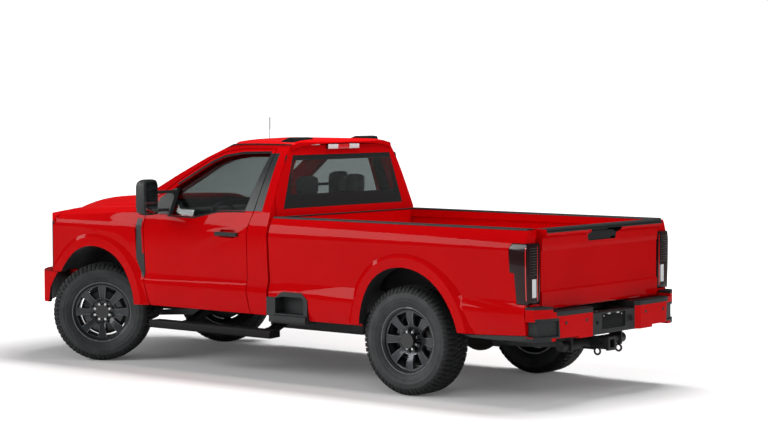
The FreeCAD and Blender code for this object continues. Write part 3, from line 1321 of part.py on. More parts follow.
def make_tailgate():
    """Hinged at its lower edge: pressed outer face, spoiler lip along the top and a handle pocket."""
    face, thick = d.tailgate_face_x, d.tailgate_thick
    low, top, half = d.tailgate_low, d.rail_z - 4, d.tailgate_half
    profile = [(face + thick, low), (face + thick, top), (face - 36, top), (face - 46, top - 14),
               (face - 40, top - 36),
               (face, top - 60), (face + 4, 1190), (face + 12, 1176), (face + 12, 884), (face, 868),
               (face + 2, low + 10), (face + 10, low)]
    gate = prism("y", profile, -half, half)
    pocket = prism("x", [(-215, 1321), (215, 1321), (190, 1229), (-190, 1229)], face - 60, face + 24)
    handle = prism("x", [(-210, 1300), (210, 1300), (196, 1250), (-196, 1250)], face + 2, face + 26)
    gate = gate.cut(pocket)
    cap = prism("y", [(face + thick, top), (face + thick, top + 12), (face - 30, top + 12), (face - 44, top)],
                -half, half)
    pin = drum(d.tailgate_pivot_x, d.tailgate_pivot_z, d.pin_radius - 5, half - 5, half + 60)
    node(shaped("tailgate_form", gate.fuse([handle, cap, pin, mirrored(pin)])), "tailgate")


def make_rear_bumper():
    """Step bumper: two painted ends, lower centre with a plate recess, corner steps."""
    plan = [(-2914, -300), (-2944, -340), (-2936, -700), (-2900, -880), (-2840, -985), (-2778, -1003),
            (-2778, -940), (-2836, -900),
            (-2836, 900), (-2778, 940), (-2778, 1003), (-2840, 985), (-2900, 880), (-2936, 700), (-2944, 340),
            (-2914, 300)]
    whole = prism("z", plan, 508, 728)
    top_cut = prism("x", [(-293, 676), (-293, 800), (293, 800), (293, 676)], -3000, -2600)
    whole = whole.cut(top_cut)
    corner = prism("z", [(-2800, 832), (-2914, 832), (-2900, 880), (-2840, 985), (-2778, 1003), (-2778, 960),
                         (-2800, 940)], 728, 770)
    whole = whole.fuse([corner, mirrored(corner)])
    plate = block(-2950, -2898, -165, 165, 545, 665)
    whole = whole.cut(plate)
    step = prism("z", [(-2960, 770), (-2960, 1100), (-2760, 1100), (-2760, 965), (-2850, 945), (-2885, 860),
                       (-2905, 770)], 545, 660)
    whole = whole.cut(step).cut(mirrored(step))
    for s in (1, -1):
        y0 = s * (d.rail_outer_y - d.rail_width / 2) - 30
        whole = whole.fuse(block(-2840, d.rail_rear_x, y0, y0 + 60, 640, 720))
    slot = prism("y", [(-2960, 500), (-2960, 528), (-2800, 528), (-2800, 500)], 520, 800)
    whole = whole.cut(slot).cut(mirrored(slot))
    valance = prism("y", [(-2184, 527), (-2300, 529), (-2500, 538), (-2795, 552), (-2795, 512), (-2500, 504),
                          (-2250, 508)],
                    d.half_width - 62, d.half_width - 16)
    whole = whole.fuse([valance, mirrored(valance)])
    node(shaped("bumper_form_rear", whole), "rear_bumper")


def make_roof_parts():
    crown = d.roof_z - 22
    pod = prism("y", [(-95, crown - 6), (-80, crown + 30), (-30, crown + 34), (60, crown + 4),
                      (60, crown - 14)], 432 - 120, 432 + 120)
    pod = pod.cut(make_roof_solid())
    node(shaped("roof_pod_forms", both_sides(pod)), "roof_pods")


def make_roof_solid():
    top, half = roof_section(0)
    low = Part.makeLine(Vector(0, -half, 1930), Vector(0, half, 1930))
    roof = Part.Face(Part.Wire([top, low])).extrude(Vector(900, 0, 0))
    roof.translate(Vector(-225, 0, 0))
    return roof


def brake_lamp():
    x = d.cab_rear_x - 12 + 37
    return block(x - 22, x - 1, -210, 210, 1894, 1936).cut(FORMS["cab_back"]).cut(FORMS["roof"])


def make_antenna():
    x, y = 1512, -900
    mast = rod((x, y, 1380), (x - 8, y, 2140), 3)
    base = Part.makeCone(20, 8, 60, Vector(x, y, 1340)).cut(mirrored(FORMS["fender"]))
    node(shaped("antenna_form", mast.fuse(base)), "antenna")


# Build, check and write every sub-part

for make in (
        make_frame, make_front_axle, make_rear_axle, make_suspension, make_driveline, make_engine, make_exhaust,
        make_tank, make_spare, make_running_boards, make_hitch, make_knuckles, make_tie_rod, make_wheels,
        make_fenders, make_cab_roof, make_cab_side, make_cab_floor, make_cab_back, make_cowl, make_cab_glass,
        make_inside, make_steering_wheel, make_doors, make_hood, make_grille, make_headlamps, make_front_bumper,
        make_bed_floor, make_bed_header, make_bed_sides, make_side_steps, make_rail_caps, make_tail_lamps,
        make_tailgate, make_rear_bumper, make_roof_parts, make_antenna):
    make()

doc.recompute()
for item in doc.Objects:
    if "Invalid" in item.State or "Error" in item.State:
        raise RuntimeError(f"{item.Name} did not build: {item.State}")
for item in NODES:
    if item.Shape.isNull() or not item.Shape.isValid():
        raise RuntimeError(f"{item.Label} has no valid shape")
os.makedirs("parts", exist_ok=True)
for item in NODES:
    item.Shape.exportStep(f"parts/{item.Label}.step")
print(len(NODES), "sub-parts written")
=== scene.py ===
import json
import math

import bmesh
import bpy
from mathutils import Matrix, Vector


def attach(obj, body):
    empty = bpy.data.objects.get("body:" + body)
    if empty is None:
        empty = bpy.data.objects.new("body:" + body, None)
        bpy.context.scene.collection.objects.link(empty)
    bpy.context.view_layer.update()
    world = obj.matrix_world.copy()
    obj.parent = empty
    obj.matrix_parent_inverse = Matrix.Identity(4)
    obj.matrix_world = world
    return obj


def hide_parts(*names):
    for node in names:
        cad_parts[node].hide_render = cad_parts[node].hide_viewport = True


# Pickup truck: paint, glass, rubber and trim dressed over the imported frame. Metres, +X forward, +Z up.

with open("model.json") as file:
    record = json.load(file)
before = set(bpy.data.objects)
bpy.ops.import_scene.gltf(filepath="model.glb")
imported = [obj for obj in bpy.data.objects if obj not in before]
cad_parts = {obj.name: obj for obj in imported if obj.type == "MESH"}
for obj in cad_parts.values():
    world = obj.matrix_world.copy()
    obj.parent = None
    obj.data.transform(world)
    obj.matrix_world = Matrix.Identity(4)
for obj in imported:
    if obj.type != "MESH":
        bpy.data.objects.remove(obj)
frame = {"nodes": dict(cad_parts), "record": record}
nodes = frame["nodes"]
bodyOf = {node: body for body, members in frame["record"]["behaviour"]["bodies"].items() for node in members}
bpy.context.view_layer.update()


# Materials

def linear(colour):    # sRGB hex to the linear values that a shader takes
    parts = [int(colour[i:i + 2], 16) / 255 for i in (1, 3, 5)]
    return tuple(c / 12.92 if c <= 0.04045 else ((c + 0.055) / 1.055) ** 2.4 for c in parts) + (1.0,)


def addNode(tree, kind, values=None, links=None):
    node = tree.nodes.new(kind)
    for key, value in (values or {}).items():
        if isinstance(key, str) and hasattr(node, key):
            setattr(node, key, value)
        else:
            node.inputs[key].default_value = value
    for key, source in (links or {}).items():
        tree.links.new(source, node.inputs[key])
    return node


def makeFinish(name, look):    # keys that name a shader socket set it; patterns are scaled from sizes in mm
    material = bpy.data.materials.new(name)
    material.use_nodes = True
    tree = material.node_tree
    shader = tree.nodes["Principled BSDF"]
    shader.inputs["Base Color"].default_value = linear(look["colour"])
    for key, value in look.items():
        if key in shader.inputs:
            shader.inputs[key].default_value = linear(value) if isinstance(value, str) else value
    place = addNode(tree, "ShaderNodeTexCoord").outputs["Object"]

    def noise(size, detail):
        return addNode(tree, "ShaderNodeTexNoise", {"Scale": 1000 / size, "Detail": detail},
                       {"Vector": place}).outputs[0]

    def ranged(source, ends):
        return addNode(tree, "ShaderNodeMapRange", ends, {"Value": source}).outputs[0]

    def threads(size, way):    # a wave node at scale 1 repeats every 314 mm
        return addNode(tree, "ShaderNodeTexWave", {"bands_direction": way, "Scale": 314 / size},
                       {"Vector": place}).outputs[1]

    def emboss(height, depth, strength):
        bump = addNode(tree, "ShaderNodeBump", {"Strength": strength, "Distance": depth / 1000}, {"Height": height})
        tree.links.new(bump.outputs[0], shader.inputs["Normal"])

    if "mottle" in look:    # a second tone in soft patches
        size, other, low, high = look["mottle"]
        mix = addNode(tree, "ShaderNodeMix", {"data_type": "RGBA", 6: linear(look["colour"]), 7: linear(other)},
                      {0: ranged(noise(size, 4.0), {"From Min": low, "From Max": high})})
        tree.links.new(mix.outputs[2], shader.inputs["Base Color"])
    if "polish" in look:    # roughness that wanders between two values
        size, low, high = look["polish"]
        tree.links.new(ranged(noise(size, 3.0), {"To Min": low, "To Max": high}), shader.inputs["Roughness"])
    if "grain" in look:    # a moulded or cast skin
        size, depth, strength = look["grain"]
        emboss(noise(size, 2.0), depth, strength)
    if "weave" in look:    # threads across and along
        size, depth, strength = look["weave"]
        both = addNode(tree, "ShaderNodeMath", {"operation": "MULTIPLY"},
                       {0: threads(size, "Y"), 1: threads(size, "DIAGONAL")})
        emboss(both.outputs[0], depth, strength)
    return material


# Finishes: colour as sRGB, fixed shader values, patterns in mm

finishes = {
    # two-coat solid red enamel under clear lacquer: wet gloss, orange peel too faint to break a reflection
    "redBodyLacquer": {"colour": "#BB0408", "Roughness": 0.6, "Specular IOR Level": 0.0, "Coat Weight": 0.16,
                       "Coat Roughness": 0.02, "mottle": (900, "#B40307", 0.4, 0.6)},
    # grained polypropylene, moulded in colour: dull, evenly stippled
    "blackGrainedPlastic": {"colour": "#222425", "Specular IOR Level": 0.35, "polish": (60, 0.46, 0.62),
                            "grain": (4, 0.3, 0.35)},
    # piano-black ABS: near mirror, slight waviness
    "glossBlackPlastic": {"colour": "#0C0D0E", "Roughness": 0.16, "Coat Weight": 0.4, "Coat Roughness": 0.04,
                          "grain": (90, 0.12, 0.1)},
    # satin-black film on the pillars beside the glass
    "satinPillarFilm": {"colour": "#242627", "Roughness": 0.24, "Specular IOR Level": 0.5, "grain": (30, 0.04, 0.1)},
    # black powder coat of the running boards, soft sheen
    "blackPowderCoat": {"colour": "#0B0B0C", "Specular IOR Level": 0.2, "polish": (50, 0.55, 0.7),
                        "grain": (3, 0.2, 0.3)},
    # extruded rubber of the seals
    "blackSealRubber": {"colour": "#0E0F10", "Specular IOR Level": 0.25, "polish": (30, 0.6, 0.8)},
    # vulcanised rubber, a little dusty on the walls
    "tyreRubber": {"colour": "#2C2E2F", "Specular IOR Level": 0.35, "mottle": (110, "#373A3B", 0.42, 0.7),
                   "polish": (40, 0.52, 0.72), "grain": (5, 0.25, 0.4)},
    # the tread band, darker because it was cleaned by the road
    "treadRubber": {"colour": "#1A1B1C", "Specular IOR Level": 0.3, "polish": (25, 0.6, 0.8), "grain": (5, 0.3, 0.5)},
    # cast aluminium wheel under dark grey metallic enamel
    "darkWheelEnamel": {"colour": "#34373A", "Metallic": 0.55, "Coat Weight": 0.35, "Coat Roughness": 0.08,
                        "polish": (80, 0.28, 0.4), "grain": (3, 0.05, 0.2)},
    # the wheel's machined edges, bright under the same lacquer
    "machinedWheelEdge": {"colour": "#6F7376", "Metallic": 0.7, "Coat Weight": 0.3, "polish": (50, 0.22, 0.34)},
    # frame steel under black wax coat
    "waxedFrameSteel": {"colour": "#141516", "polish": (70, 0.42, 0.7), "mottle": (160, "#22211F", 0.5, 0.8),
                        "grain": (9, 0.3, 0.4)},
    # sand-cast iron of axles and knuckles
    "castIron": {"colour": "#262524", "Metallic": 0.6, "polish": (50, 0.5, 0.75),
                 "mottle": (60, "#33291F", 0.52, 0.78), "grain": (3, 0.6, 0.6)},
    # aluminised exhaust steel: dull silver with heat haze
    "aluminisedSteel": {"colour": "#7C7B78", "Metallic": 1.0, "polish": (90, 0.3, 0.5),
                        "mottle": (140, "#5E574A", 0.5, 0.8)},
    # turned brake disc
    "turnedDiscIron": {"colour": "#4A4C4E", "Metallic": 1.0, "Anisotropic": 0.5, "polish": (12, 0.3, 0.42),
                       "grain": (1.5, 0.1, 0.3)},
    # blow-moulded polyethylene tank
    "blackTankPlastic": {"colour": "#161718", "polish": (80, 0.4, 0.6), "grain": (12, 0.4, 0.4)},
    # tinted laminated glass
    "tintedGlass": {"colour": "#8F9796", "Roughness": 0.0, "Transmission Weight": 1.0, "IOR": 1.35},
    # clear laminated glass of the windscreen and rear window
    "clearCabGlass": {"colour": "#A8ADAC", "Roughness": 0.0, "Transmission Weight": 1.0, "IOR": 1.35},
    # ceramic frit baked round the panes
    "blackGlassFrit": {"colour": "#1C1E1F", "Roughness": 0.2, "Specular IOR Level": 0.5, "grain": (2, 0.02, 0.1)},
    # aluminium mirror behind glass
    "mirrorGlass": {"colour": "#B7BBBD", "Metallic": 1.0, "Roughness": 0.04, "grain": (200, 0.02, 0.05)},
    # chromed or polished trim; on the wheel nuts this bright chrome is a painted glint, the nuts themselves being dark
    "brightTrim": {"colour": "#C9CBCD", "Metallic": 1.0, "polish": (60, 0.08, 0.18)},
    # dark smoked red acrylic over a black housing
    "smokedRedLens": {"colour": "#1E0204", "Roughness": 0.2, "Specular IOR Level": 0.2, "Coat Weight": 0.25,
                      "Coat Roughness": 0.02, "grain": (16, 0.08, 0.2)},
    # bright red acrylic light pipe
    "redLens": {"colour": "#C4080C", "Roughness": 0.15, "Coat Weight": 1.0, "Coat Roughness": 0.02,
                "Emission Color": "#C4080C", "Emission Strength": 0.12, "grain": (7, 0.2, 0.3)},
    # clear ribbed acrylic over a white reflector
    "clearLens": {"colour": "#D9DCDE", "Roughness": 0.12, "Coat Weight": 1.0, "Coat Roughness": 0.02,
                  "grain": (6, 0.4, 0.4)},
    # vacuum-metallised bowl behind a clear cover
    "lampReflector": {"colour": "#A9ADB1", "Metallic": 1.0, "polish": (30, 0.1, 0.25)},
    # amber acrylic of the marker lamps
    "amberLens": {"colour": "#C7680A", "Roughness": 0.14, "Coat Weight": 1.0, "Coat Roughness": 0.02,
                  "grain": (6, 0.3, 0.4)},
    # dark grey woven seat cloth, 2 mm threads drawn at 6 mm so that they show
    "seatCloth": {"colour": "#3B3E41", "Sheen Weight": 0.25, "Roughness": 0.9, "weave": (6, 0.6, 0.6)},
    # leather-grained vinyl of the seats' side bolsters
    "seatVinyl": {"colour": "#2A2C2E", "polish": (40, 0.42, 0.6), "grain": (3, 0.3, 0.5)},
    # soft grained vinyl of dashboard and door cards
    "cabinVinyl": {"colour": "#2A2C2F", "polish": (50, 0.5, 0.66), "grain": (3, 0.3, 0.5)},
    # needle-felt carpet
    "cabCarpet": {"colour": "#1E1F21", "Roughness": 0.95, "Sheen Weight": 0.2, "grain": (4, 1.2, 0.7)},
    # perforated steel seat frames, phosphate black
    "seatFrameSteel": {"colour": "#202123", "Metallic": 0.4, "polish": (40, 0.4, 0.6)},
}
finish = {name: makeFinish(name, look) for name, look in finishes.items()}
print("stage: finishes made", len(finish))


# Modelling helpers

def meshPiece(bm, name, materials, smooth=30, even=False):
    data = bpy.data.meshes.new(name)
    bm.to_mesh(data)
    bm.free()
    for material in materials:
        data.materials.append(finish[material])
    data.shade_smooth()
    data.set_sharp_from_angle(angle=math.radians(smooth))
    piece = bpy.data.objects.new(name, data)
    bpy.context.scene.collection.objects.link(piece)
    if even:    # large flat faces stay flat beside their rounded edges
        piece.modifiers.new("evenNormals", "WEIGHTED_NORMAL").keep_sharp = True
    return piece


def seat(piece, node="", body="chassis"):    # on the body of the CAD node that it stands for, or on the body given
    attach(piece, bodyOf.get(node, body))
    if node:
        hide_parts(node)


def facesRound(verts):
    return {face for vert in verts for face in vert.link_faces}


def assign(faces, index):
    for face in faces:
        face.material_index = index


def bevelled(bm, edges, radius):
    return bmesh.ops.bevel(bm, geom=edges, offset=radius, offset_type="OFFSET", segments=2, profile=0.5,
                           affect="EDGES", clamp_overlap=True, material=-1)


def addBlock(bm, middle, size, radius, index=0):    # a block with rounded edges
    place = Matrix.Translation(middle) @ Matrix.Diagonal((*size, 1))
    made = bmesh.ops.create_cube(bm, size=1, matrix=place)["verts"]
    faces = facesRound(made)
    rounded = bevelled(bm, list({edge for vert in made for edge in vert.link_edges}), radius)
    assign(facesRound(rounded["verts"]) | {f for f in faces if f.is_valid}, index)


def addCone(bm, place, radius, tip, length, index=0, sides=32):    # along local +Z
    made = bmesh.ops.create_cone(bm, cap_ends=True, segments=sides, radius1=radius, radius2=tip, depth=length,
                                 matrix=place)["verts"]
    assign(facesRound(made), index)


def addDrum(bm, middle, radius, length, axis, index=0, sides=20):    # a drum along X or Y
    turn = {"X": Matrix.Rotation(math.pi / 2, 4, "Y"), "Y": Matrix.Rotation(-math.pi / 2, 4, "X")}[axis]
    addCone(bm, Matrix.Translation(middle) @ turn, radius, radius, length, index, sides)


def addTube(bm, route, radius, sides=8, index=0):    # a rod bent along a few points
    rings = []
    for spot, point in enumerate(route):
        before = Vector(route[max(spot - 1, 0)])
        after = Vector(route[min(spot + 1, len(route) - 1)])
        turn = (after - before).to_track_quat("Z", "Y").to_matrix().to_4x4()
        made = bmesh.ops.create_circle(bm, segments=sides, radius=radius, matrix=Matrix.Translation(point) @ turn)
        rings.append(made["verts"])
    edgesOf = [list({e for v in ring for e in v.link_edges}) for ring in rings]
    for first, second in zip(edgesOf, edgesOf[1:]):
        bmesh.ops.bridge_loops(bm, edges=first + second)
    for ring in (rings[0], rings[-1]):
        bmesh.ops.contextual_create(bm, geom=ring)
    faces = list(facesRound(v for ring in rings for v in ring))
    bmesh.ops.recalc_face_normals(bm, faces=faces)
    assign(faces, index)


def ringStack(bm, rings, index=0, closed=True):    # join rings of equal count into a skin, capped at the last ring
    loops = [[bm.verts.new(point) for point in ring] for ring in rings]
    count = len(loops[0])
    faces = [bm.faces.new((lower[i], lower[(i + 1) % count], upper[(i + 1) % count], upper[i]))
             for lower, upper in zip(loops, loops[1:]) for i in range(count)]
    if closed:    # capped at the first ring too
        faces.append(bm.faces.new(loops[0][::-1]))
    faces.append(bm.faces.new(loops[-1]))
    assign(faces, index)


def roundedLoop(halfWide, halfTall, corner, count):    # a rectangle with round corners, about its middle
    ways = [(math.cos(math.tau * step / count), math.sin(math.tau * step / count)) for step in range(count)]
    return [(math.copysign(halfWide - corner, across) + corner * across,
             math.copysign(halfTall - corner, up) + corner * up) for across, up in ways]


def middleOf(points):
    return [sum(values) / len(values) for values in zip(*points)]


def only(kind, items):
    return [item for item in items if isinstance(item, kind)]


def mirror(bm, twin=False):    # across the truck's middle plane; as a twin, the first side stays
    items = bm.verts[:] + bm.edges[:] + bm.faces[:]
    if twin:
        items = bmesh.ops.duplicate(bm, geom=items)["geom"]
    bmesh.ops.scale(bm, vec=(1, -1, 1), verts=only(bmesh.types.BMVert, items))
    bmesh.ops.reverse_faces(bm, faces=only(bmesh.types.BMFace, items))


# weld and cut distances in m, the turn in degrees below which faces are one, and how far a face must look a zone's way
skin = {"weld": 0.00002, "cut": 0.00001, "flat": 0.6, "facing": 0.15}


# a clean copy of a CAD node's loose triangles: flat faces made whole, edges that turn by more than an angle rounded
def weldedCopy(name, radius=0, angle=32):
    bm = bmesh.new()
    bm.from_mesh(nodes[name].data)
    bmesh.ops.remove_doubles(bm, verts=bm.verts, dist=skin["weld"])
    bmesh.ops.dissolve_limit(bm, angle_limit=math.radians(skin["flat"]), verts=bm.verts, edges=bm.edges)
    if radius:
        bevelled(bm, [edge for edge in bm.edges if len(edge.link_faces) == 2
                      and edge.calc_face_angle(0) > math.radians(angle)], radius)
    return bm


def rect(a0, a1, b0, b1):
    return [(a0, b0), (a1, b0), (a1, b1), (a0, b1)]


def zone(along, outline, index, reach=(-9, 9), toward=None):    # a region of skin, its outline seen along an axis
    return {"along": along, "outline": outline, "index": index, "reach": reach, "toward": toward}


def paintZone(bm, area, side=1):    # cut the skin along a zone's outline and give what lies inside its finish
    depth, a, b = {"x": (0, 1, 2), "y": (1, 0, 2)}[area["along"]]
    outline, (low, high) = area["outline"], area["reach"]
    if side < 0 and depth == 1:
        low, high = -high, -low
    elif side < 0:
        outline = [(-p, q) for p, q in outline]
    limits = [(depth, low, high)] + [(axis, min(ends), max(ends)) for axis, ends in zip((a, b), zip(*outline))]

    def near(face):
        spots = [v.co for v in face.verts]
        return all(min(s[axis] for s in spots) < top and max(s[axis] for s in spots) > bottom
                   for axis, bottom, top in limits)

    def within(point):
        turns = [(x1 - x0) * (point[b] - y0) - (y1 - y0) * (point[a] - x0) for (x0, y0), (x1, y1) in borders]
        return len({turn > 0 for turn in turns if abs(turn) > 1e-9}) < 2 and low <= point[depth] <= high

    borders = list(zip(outline, outline[1:] + outline[:1]))
    for (x0, y0), (x1, y1) in borders:
        faces = [face for face in bm.faces if near(face)]
        edges = {edge for face in faces for edge in face.edges}
        verts = {vert for face in faces for vert in face.verts}
        point, normal = Vector(), Vector()
        point[a], point[b] = x0, y0
        normal[a], normal[b] = y1 - y0, x0 - x1
        bmesh.ops.bisect_plane(bm, geom=faces + list(edges) + list(verts), plane_co=point,
                               plane_no=normal.normalized(), dist=skin["cut"])
    toward = area["toward"] and Vector(area["toward"]) * Vector((1, side, 1))
    paintWhere(bm, area["index"], lambda p, n: within(p) and (not toward or n.dot(toward) >= skin["facing"]))


def paintWhere(bm, index, test):    # give a finish to the faces whose middle and direction pass a test
    assign([face for face in bm.faces if test(face.calc_center_median(), face.normal)], index)


# Panels: the CAD form with its edges rounded as pressed steel is. Each entry: edge radius in m, finishes,
# tests for whole faces, and zones cut into the skin for the second and further finishes.

archX = {"front": 1.930, "rear": -1.620}
archZ = 0.433


def facesCentre(p, n):
    return n.y * math.copysign(1, p.y) < -0.5


def facesLoad(p, n):    # the bed side's wall and wheel box as the load space sees them
    return abs(p.y) < 0.88 and p.z > 0.805 and (n.z > 0.5 or facesCentre(p, n))


def insideArch(end, reach, depth=0.9675):    # the black liner, inner walls and the returned edge round a wheel
    def test(p, n):
        away = Vector((p.x - archX[end], 0, p.z - archZ))
        return away.length < reach and (abs(p.y) < depth or n.dot(away.normalized()) < -0.6)
    return test


windowSeal = [
    [(0.110, 1.377), (0.420, 1.365), (0.420, 1.383), (0.110, 1.395)],
    [(0.420, 1.365), (0.690, 1.307), (0.690, 1.325), (0.420, 1.383)],
    [(0.690, 1.307), (1.000, 1.313), (1.000, 1.331), (0.690, 1.325)],
    [(0.973, 1.578), (0.986, 1.594), (0.673, 1.792), (0.664, 1.771)],
    [(0.664, 1.771), (0.673, 1.792), (0.548, 1.843), (0.542, 1.822)],
    [(0.542, 1.822), (0.548, 1.843), (0.358, 1.873), (0.355, 1.852)],
    [(0.355, 1.852), (0.358, 1.873), (0.036, 1.882), (0.038, 1.861)],
]
bumperTrim = [    # black lip along the top, stepping up to the corner, the corner step's frame and the lower corner
    rect(0.290, 0.790, 0.694, 0.745),
    [(0.770, 0.694), (0.820, 0.752), (0.820, 0.800), (0.770, 0.800)],
    rect(0.800, 1.020, 0.750, 0.800),
    [(0.752, 0.532), (0.986, 0.532), (0.972, 0.682), (0.764, 0.682)],
    rect(0.840, 1.020, 0.490, 0.540),
]
wallReach = (0.60, 1.02)
redAndGrained = ["redBodyLacquer", "blackGrainedPlastic"]
panels = {
    "cab_roof": {"radius": 0.003, "finishes": ["redBodyLacquer"]},
    "cab_side_left": {
        "radius": 0.002, "finishes": ["redBodyLacquer", "satinPillarFilm", "blackGrainedPlastic"],
        "tests": [(2, lambda p, n: abs(n.y) > 0.7 and abs(p.y) < 0.885 and p.z < 1.42)],
        "zones": [zone("y", [(-0.074, 1.390), (0.060, 1.390), (0.030, 1.866), (-0.062, 1.866)], 1, wallReach),
                  zone("y", rect(1.262, 1.330, 0.560, 0.760), 2, (0.80, 0.96))]},
    "cab_back": {
        "radius": 0.002, "finishes": ["redBodyLacquer", "glossBlackPlastic", "cabinVinyl"],
        "tests": [(2, lambda p, n: n.x > 0.7)],
        "zones": [zone("x", rect(-0.735, 0.735, 1.408, 1.513), 1, (-0.30, 0.02), (-1, 0, 0))]},
    "cowl": {"radius": 0.002, "finishes": ["blackGrainedPlastic"]},
    "fender_left": {
        "radius": 0.003, "finishes": redAndGrained,
        "tests": [(1, insideArch("front", 0.628)), (1, lambda p, n: abs(p.y) < 0.84), (1, facesCentre)],
        "zones": [zone("y", [(1.241, 0.771), (1.291, 0.771), (1.368, 0.930), (1.368, 1.284), (1.241, 1.284)], 1,
                       (0.960, 0.9875))]},
    "hood": {"radius": 0.003, "finishes": redAndGrained, "tests": [(1, lambda p, n: n.z < -0.6)]},
    "door_shell_left": {
        "radius": 0.0025, "finishes": ["redBodyLacquer", "satinPillarFilm", "blackSealRubber", "cabinVinyl"],
        "tests": [(3, lambda p, n: abs(n.y) > 0.7 and abs(p.y) < 0.905 and p.z < 1.33 and 0.09 < p.x < 1.2)],
        "zones": [zone("y", [(-0.045, 1.388), (0.121, 1.388), (0.045, 1.864), (-0.045, 1.864)], 1, wallReach),
                  zone("y", rect(0.140, 0.405, 1.166, 1.216), 1, (1.0012, 1.05))]
        + [zone("y", strip, 2, wallReach, (0, 1, 0)) for strip in windowSeal]},
    "bed_side_left": {"radius": 0.003, "finishes": redAndGrained,
                      "tests": [(1, insideArch("rear", 0.66)), (0, facesLoad)]},
    "bed_header": {"radius": 0.003, "finishes": ["redBodyLacquer"]},
    "bed_floor": {"radius": 0.002, "finishes": ["redBodyLacquer", "waxedFrameSteel"],
                  "tests": [(1, lambda p, n: n.z < -0.6 or p.z < 0.79)]},
    "tailgate": {
        "radius": 0.003, "finishes": ["redBodyLacquer", "blackGrainedPlastic", "glossBlackPlastic"],
        "zones": [zone("x", [(-0.2165, 1.3225), (0.2165, 1.3225), (0.191, 1.2275), (-0.191, 1.2275)], 2,
                       (-2.7995, -2.74)),
                  zone("x", rect(-0.8145, 0.8145, 1.3175, 1.36), 1, (-2.87, -2.70))]},
    "rail_caps": {"radius": 0.003, "finishes": ["blackGrainedPlastic"]},
    "rear_bumper": {
        "radius": 0.006, "finishes": redAndGrained,
        "tests": [(1, lambda p, n: abs(p.y) < 0.305 or p.x > -2.845 and abs(p.y) < 0.93
                   or abs(n.z) > 0.7 or p.x > -2.776)],
        "zones": [zone("x", [(side * y, z) for y, z in outline], 1, (-3.0, -2.70))
                  for side in (1, -1) for outline in bumperTrim]},
    "front_bumper": {
        "radius": 0.006, "finishes": redAndGrained,
        "tests": [(1, lambda p, n: facesCentre(p, n) or n.x < -0.5 or p.z < 0.56
                   or abs(p.y) < 0.43 and p.z < 0.64 or p.x < 2.35 and abs(n.y) < 0.3)]},
    "side_steps": {"radius": 0.004, "finishes": ["blackGrainedPlastic"]},
    "running_boards": {"radius": 0.004, "finishes": ["blackPowderCoat"]},
    "roof_pods": {"radius": 0.004, "finishes": ["glossBlackPlastic"]},
    "grille": {"radius": 0.003, "finishes": ["glossBlackPlastic", "brightTrim"],
               "tests": [(1, lambda p, n: (0.906 < p.z < 0.950 or 1.051 < p.z < 1.095) and p.x > 2.7
                          and abs(p.y) < 0.55 and n.x > 0.3)]},
    "dashboard": {"radius": 0.006, "finishes": ["cabinVinyl"]},
}
for name in ("cab_side", "fender", "door_shell", "bed_side"):
    panels[name + "_right"] = panels[name + "_left"]

for name, values in panels.items():
    bm = weldedCopy(name, values["radius"])
    for index, test in values.get("tests", []):
        paintWhere(bm, index, test)
    for area in values.get("zones", []):
        paintZone(bm, area, -1 if name.endswith("_right") else 1)
    seat(meshPiece(bm, name + "Panel", values["finishes"], even=True), name)
print("stage: panels dressed", len(panels))

# CAD nodes that stay as they are, by finish

plainNodes = {
    "waxedFrameSteel": ["frame_rails", "frame_crossmembers", "suspension", "hitch_receiver"],
    "castIron": ["front_axle", "rear_axle", "driveline", "engine_block", "knuckle_left", "knuckle_right", "tie_rod"],
    "aluminisedSteel": ["exhaust"], "blackTankPlastic": ["fuel_tank"], "tyreRubber": ["spare_wheel"],
    "cabCarpet": ["cab_floor"], "clearCabGlass": ["cab_glass"], "tintedGlass": ["door_glass_left", "door_glass_right"],
    "seatFrameSteel": ["seat_frames"], "cabinVinyl": ["steering_wheel"], "glossBlackPlastic": ["antenna"],
}
for material, names in plainNodes.items():
    for name in names:
        slots = nodes[name].data.materials
        if not slots:
            slots.append(finish[material])
        for index in range(len(slots)):
            slots[index] = finish[material]
print("stage: carried-over nodes finished", sum(map(len, plainNodes.values())))

# Wheels: tyres spun from a section with the tread and lugs on top, rims dressed over the CAD form

wheels = {
    "front_left": {"hub": (1.974, 0.875), "pin": (1.974, 0.770), "turn": 35.7, "carrier": "knuckle_left"},
    "front_right": {"hub": (1.974, -0.875), "pin": (1.974, -0.770), "turn": 35.7, "carrier": "knuckle_right"},
    "rear_left": {"hub": (-1.623, 0.853), "pin": (-1.623, 0.853), "turn": 0.0, "carrier": "rear_axle"},
    "rear_right": {"hub": (-1.623, -0.853), "pin": (-1.623, -0.853), "turn": 0.0, "carrier": "rear_axle"},
}
hubHeight = 0.432
